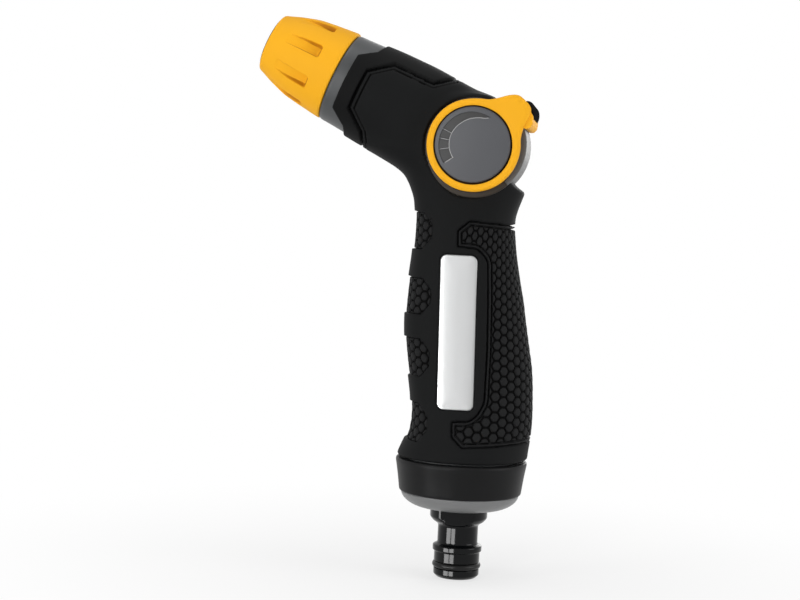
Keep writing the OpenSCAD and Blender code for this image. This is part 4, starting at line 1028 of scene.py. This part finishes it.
def make_dial(name, side, node):
    """Dial cover: a shallow dome with a chamfered rim and the flow scale, whose windows are sunk:
    three blocks and a crescent that thins to a point. A fine rim, slightly raised along their inner
    edges and between them, is painted pale as a highlight."""
    seat, top = sorted(abs(v) for v in span(node, 1))
    top = top - 0.2
    rim_r = 12.8
    radii = np.concatenate([[0.0, 0.6, 1.4, 2.4, 3.6, 4.8, 5.8, 6.6, 7.2], np.arange(7.45, 11.9, 0.1),
                            np.linspace(11.9, 12.45, 4), [12.57, 12.69, 12.77, rim_r, rim_r]])
    deg, r = np.meshgrid(np.arange(0, 360, 0.5), radii)
    a = np.radians(deg)
    inner = smooth_curve(deg, [0, 57, 67, 78, 88, 99, 111, 125, 142, 154, 360],
                         [8.1, 10.85, 9.75, 9.3, 8.95, 8.7, 8.4, 8.2, 8.05, 8.0, 8.0])
    outer = smooth_curve(deg, [0, 57, 70, 88, 110, 135, 155, 360],
                         [11.0, 10.9, 10.85, 10.95, 11.05, 11.15, 11.3, 11.35])

    def window(low, high):
        """Distance inside the window between two angles and the scale's two curves."""
        return np.minimum(np.minimum(deg - low, high - deg) * np.pi / 180 * r,
                          np.minimum(r - inner - 0.14, outer - r))

    marks = np.maximum.reduce([window(155.1, 170.2), window(172.0, 189.7), window(191.6, 214.6),
                               window(56, 153.2)])
    # Painted highlight: a pale band on the slightly raised rim along the windows' inner edges and
    # between them
    edge = (step(marks, -0.38, -0.3) * (1 - step(marks, -0.09, -0.01)) * step(deg, 50, 60)
            * step(-r, -(outer - 0.3), -(outer - 0.7)))
    height = (top - 0.25 + 0.5 * (1 - (r / rim_r)**2) - 0.32 * np.clip((r - 12.45) / 0.35, 0, 1)**1.5
              - 0.28 * step(marks, -0.05, 0.1) + 0.06 * edge)
    height[-1] = seat
    centre = VALVE + (HUB - VALVE) * 0.7
    points = np.stack([centre[0] + r * np.cos(a), side * height, centre[2] + r * np.sin(a)], -1)
    cells = turned_out(points, quads(*points.shape[:2], False, True)[len(a[0]):],
                       np.array([centre[0], side * (seat - 8), centre[2]]))
    n = a.shape[1]
    fan = np.stack([np.zeros(n, int), n + np.arange(n), n + (np.arange(n) + 1) % n], 1)
    flat = points.reshape(-1, 3)
    if np.cross(flat[fan[0, 1]] - flat[fan[0, 0]], flat[fan[0, 2]] - flat[fan[0, 0]])[1] * side < 0:
        fan = fan[:, ::-1]
    # line carries the painted highlight
    return piece(name, points, [cells, fan], dial_face, "lever", [node],
                 marks={"mark": step(marks, -0.04, 0.06), "line": edge})


def make_barrel():
    """Valve barrel under the lever: a closed drum, drawn in where the skin covers it."""
    end = BARREL_HALF - 0.45
    drum = softened([(12.0, -end), (BARREL_R, -end), (BARREL_R, end), (12.0, end)],
                    [0.1, 0.4, 0.4, 0.1], 6)
    face = np.stack([np.full(9, BARREL_R), np.linspace(-end + 1, end - 1, 9)], 1)
    fine = np.concatenate([drum[:12], face, drum[12:]])

    def draw_in(radius, height, turn):
        """Radius less 3.3 wherever the barrel isn't bare, with an eased step between."""
        deg = backward_degrees(turn)
        bare = step(deg, -56, -50) * step(-deg, -65.5, -62)
        return np.where(radius > 14, radius - 3.3 * (1 - bare), radius), height, turn

    lathe("valve_barrel", fine, even_turn(240), VALVE, AXIS_Y, barrel_paint, "housing",
          ["valve_body"], draw_in)


def make_end_flanges():
    """Flange at each end of the barrel, coloured dark as painted shade under the lever's ring, that
    fills the skin's opening under the ring: a ring whose radius follows the opening and drops to the
    ring's own where the barrel is bare."""
    face = BARREL_HALF + 0.06
    fine = np.sort(np.concatenate([even_turn(300), np.radians([46.6, 46.8, 47.0, 47.2])]))
    for name, side in (("barrel_flange_left", -1), ("barrel_flange_right", 1)):
        ring = np.array([(12.0, face - 0.9), (12.0, face), (15.0, face), (16.0, face),
                         (17.0, face - 0.02), (17.6, face - 0.06), (17.9, face - 0.16),
                         (18.0, face - 0.35), (18.0, face - 0.9)])
        ring[:, 1] *= side

        def swell(radius, height, turn):
            """Radius stretched from 12 outwards, so that 18 comes to the opening's edge."""
            deg = backward_degrees(turn)
            reach = smooth_curve(deg, OPENING_TURN, np.array(OPENING_R) - 0.12)
            reach = np.where((deg < -46.9) | (deg > 66), np.maximum(reach, RING_R), RING_R)
            return np.where(radius > 12.5, 12 + (radius - 12) / 6 * (reach - 12), radius), height, turn

        lathe(name, ring, fine, HUB, AXIS_Y, flange_shade_paint, "housing", reshape=swell)


make_barrel()
make_end_flanges()
make_lever()
make_thumb_pad()
make_dial("flow_dial_left", -1, "hub_disc_left")
make_dial("flow_dial_right", 1, "hub_disc_right")

# ---- Studio ----


def link_all(tree, *pairs):
    """Links each pair of sockets, the giving one first."""
    for giving, taking in pairs:
        tree.links.new(giving, taking)


def seen_rays(tree):
    """1 for rays that come from the camera, from a gloss or through glass, else 0."""
    path = tree.nodes.new("ShaderNodeLightPath")
    out = path.outputs["Is Camera Ray"]
    for also in ("Is Glossy Ray", "Is Transmission Ray"):
        either = tree.nodes.new("ShaderNodeMath")
        either.operation = "MAXIMUM"
        link_all(tree, (out, either.inputs[0]), (path.outputs[also], either.inputs[1]))
        out = either.outputs[0]
    return out


def pale_floor():
    """Plain pale floor under the inlet's end. Near the part it is a matt surface that takes its
    shadow, and away from it turns to even white. Reflections see the room through it."""
    half = 6.0
    mesh = bpy.data.meshes.new("studio_floor")
    mesh.from_pydata([(-half, -half, 0), (half, -half, 0), (half, half, 0), (-half, half, 0)], [],
                     [(0, 1, 2, 3)])
    floor = bpy.data.objects.new("studio_floor", mesh)
    floor.location.z = -0.0004
    bpy.context.scene.collection.objects.link(floor)
    made = bpy.data.materials.new("pale_floor")
    made.use_nodes = True
    tree = made.node_tree
    tree.nodes.clear()
    matt = tree.nodes.new("ShaderNodeBsdfDiffuse")
    matt.inputs["Color"].default_value = (0.88, 0.88, 0.88, 1)
    glow = tree.nodes.new("ShaderNodeEmission")
    glow.inputs["Color"].default_value = (1, 1, 1, 1)
    place = tree.nodes.new("ShaderNodeTexCoord")
    reach = tree.nodes.new("ShaderNodeVectorMath")
    reach.operation = "LENGTH"
    fade = tree.nodes.new("ShaderNodeMapRange")
    fade.interpolation_type = "SMOOTHSTEP"
    for socket, value in (("From Min", 0.02), ("From Max", 0.22), ("To Min", 0.7), ("To Max", 1.0)):
        fade.inputs[socket].default_value = value
    seen = tree.nodes.new("ShaderNodeMath")
    seen.operation = "MULTIPLY"
    mix = tree.nodes.new("ShaderNodeMixShader")
    out = tree.nodes.new("ShaderNodeOutputMaterial")
    path = tree.nodes.new("ShaderNodeLightPath")
    clear = tree.nodes.new("ShaderNodeBsdfTransparent")
    open_mix = tree.nodes.new("ShaderNodeMixShader")
    link_all(tree, (place.outputs["Object"], reach.inputs[0]),
             (reach.outputs["Value"], fade.inputs["Value"]),
             (fade.outputs["Result"], seen.inputs[0]), (seen_rays(tree), seen.inputs[1]),
             (seen.outputs[0], mix.inputs[0]), (matt.outputs[0], mix.inputs[1]),
             (glow.outputs[0], mix.inputs[2]), (path.outputs["Is Glossy Ray"], open_mix.inputs[0]),
             (mix.outputs[0], open_mix.inputs[1]), (clear.outputs[0], open_mix.inputs[2]),
             (open_mix.outputs[0], out.inputs["Surface"]))
    mesh.materials.append(made)


def studio_world():
    """White all round as the camera and reflections see it, softer as a light."""
    world = bpy.data.worlds.new("studio_world")
    bpy.context.scene.world = world
    world.use_nodes = True
    tree = world.node_tree
    tree.nodes.clear()
    seen = tree.nodes.new("ShaderNodeBackground")
    seen.inputs["Color"].default_value = (1, 1, 1, 1)
    lit = tree.nodes.new("ShaderNodeBackground")
    lit.inputs["Color"].default_value = (1, 1, 1, 1)
    lit.inputs["Strength"].default_value = 0.41
    mix = tree.nodes.new("ShaderNodeMixShader")
    out = tree.nodes.new("ShaderNodeOutputWorld")
    link_all(tree, (seen_rays(tree), mix.inputs[0]), (lit.outputs[0], mix.inputs[1]),
             (seen.outputs[0], mix.inputs[2]), (mix.outputs[0], out.inputs["Surface"]))


def lamp(name, place, width, height, power, aim=(-0.015, 0, 0.1)):
    """Soft oblong lamp that faces the middle of the nozzle, or the point given."""
    data = bpy.data.lights.new(name, "AREA")
    data.shape, data.size, data.size_y, data.energy = "RECTANGLE", width, height, power
    light = bpy.data.objects.new(name, data)
    light.location = place
    turn = (Vector(aim) - light.location).to_track_quat("-Z", "Y")
    light.rotation_mode = "QUATERNION"
    light.rotation_quaternion = turn
    bpy.context.scene.collection.objects.link(light)


pale_floor()
studio_world()
lamp("window_far_left", (-0.74, -0.58, 0.2), 0.2, 0.5, 2.3)
lamp("window_near_left", (-0.29, -0.91, 0.2), 0.2, 0.5, 3.0)
lamp("low_far_left", (-0.714, -0.627, -0.18), 0.42, 0.34, 9.5, (0, 0, 0.02))
lamp("low_near_left", (-0.345, -0.885, -0.18), 0.34, 0.34, 8.0, (0, 0, 0.02))
lamp("top_lamp", (-0.12, -0.12, 1.0), 0.5, 0.4, 2.3)
lamp("side_lamp", (0.88, -0.2, 0.25), 0.5, 0.5, 3.2)
lamp("back_lamp", (0.15, 0.95, 0.35), 0.5, 0.5, 2.0)

bpy.context.scene.view_settings.view_transform = "Standard"
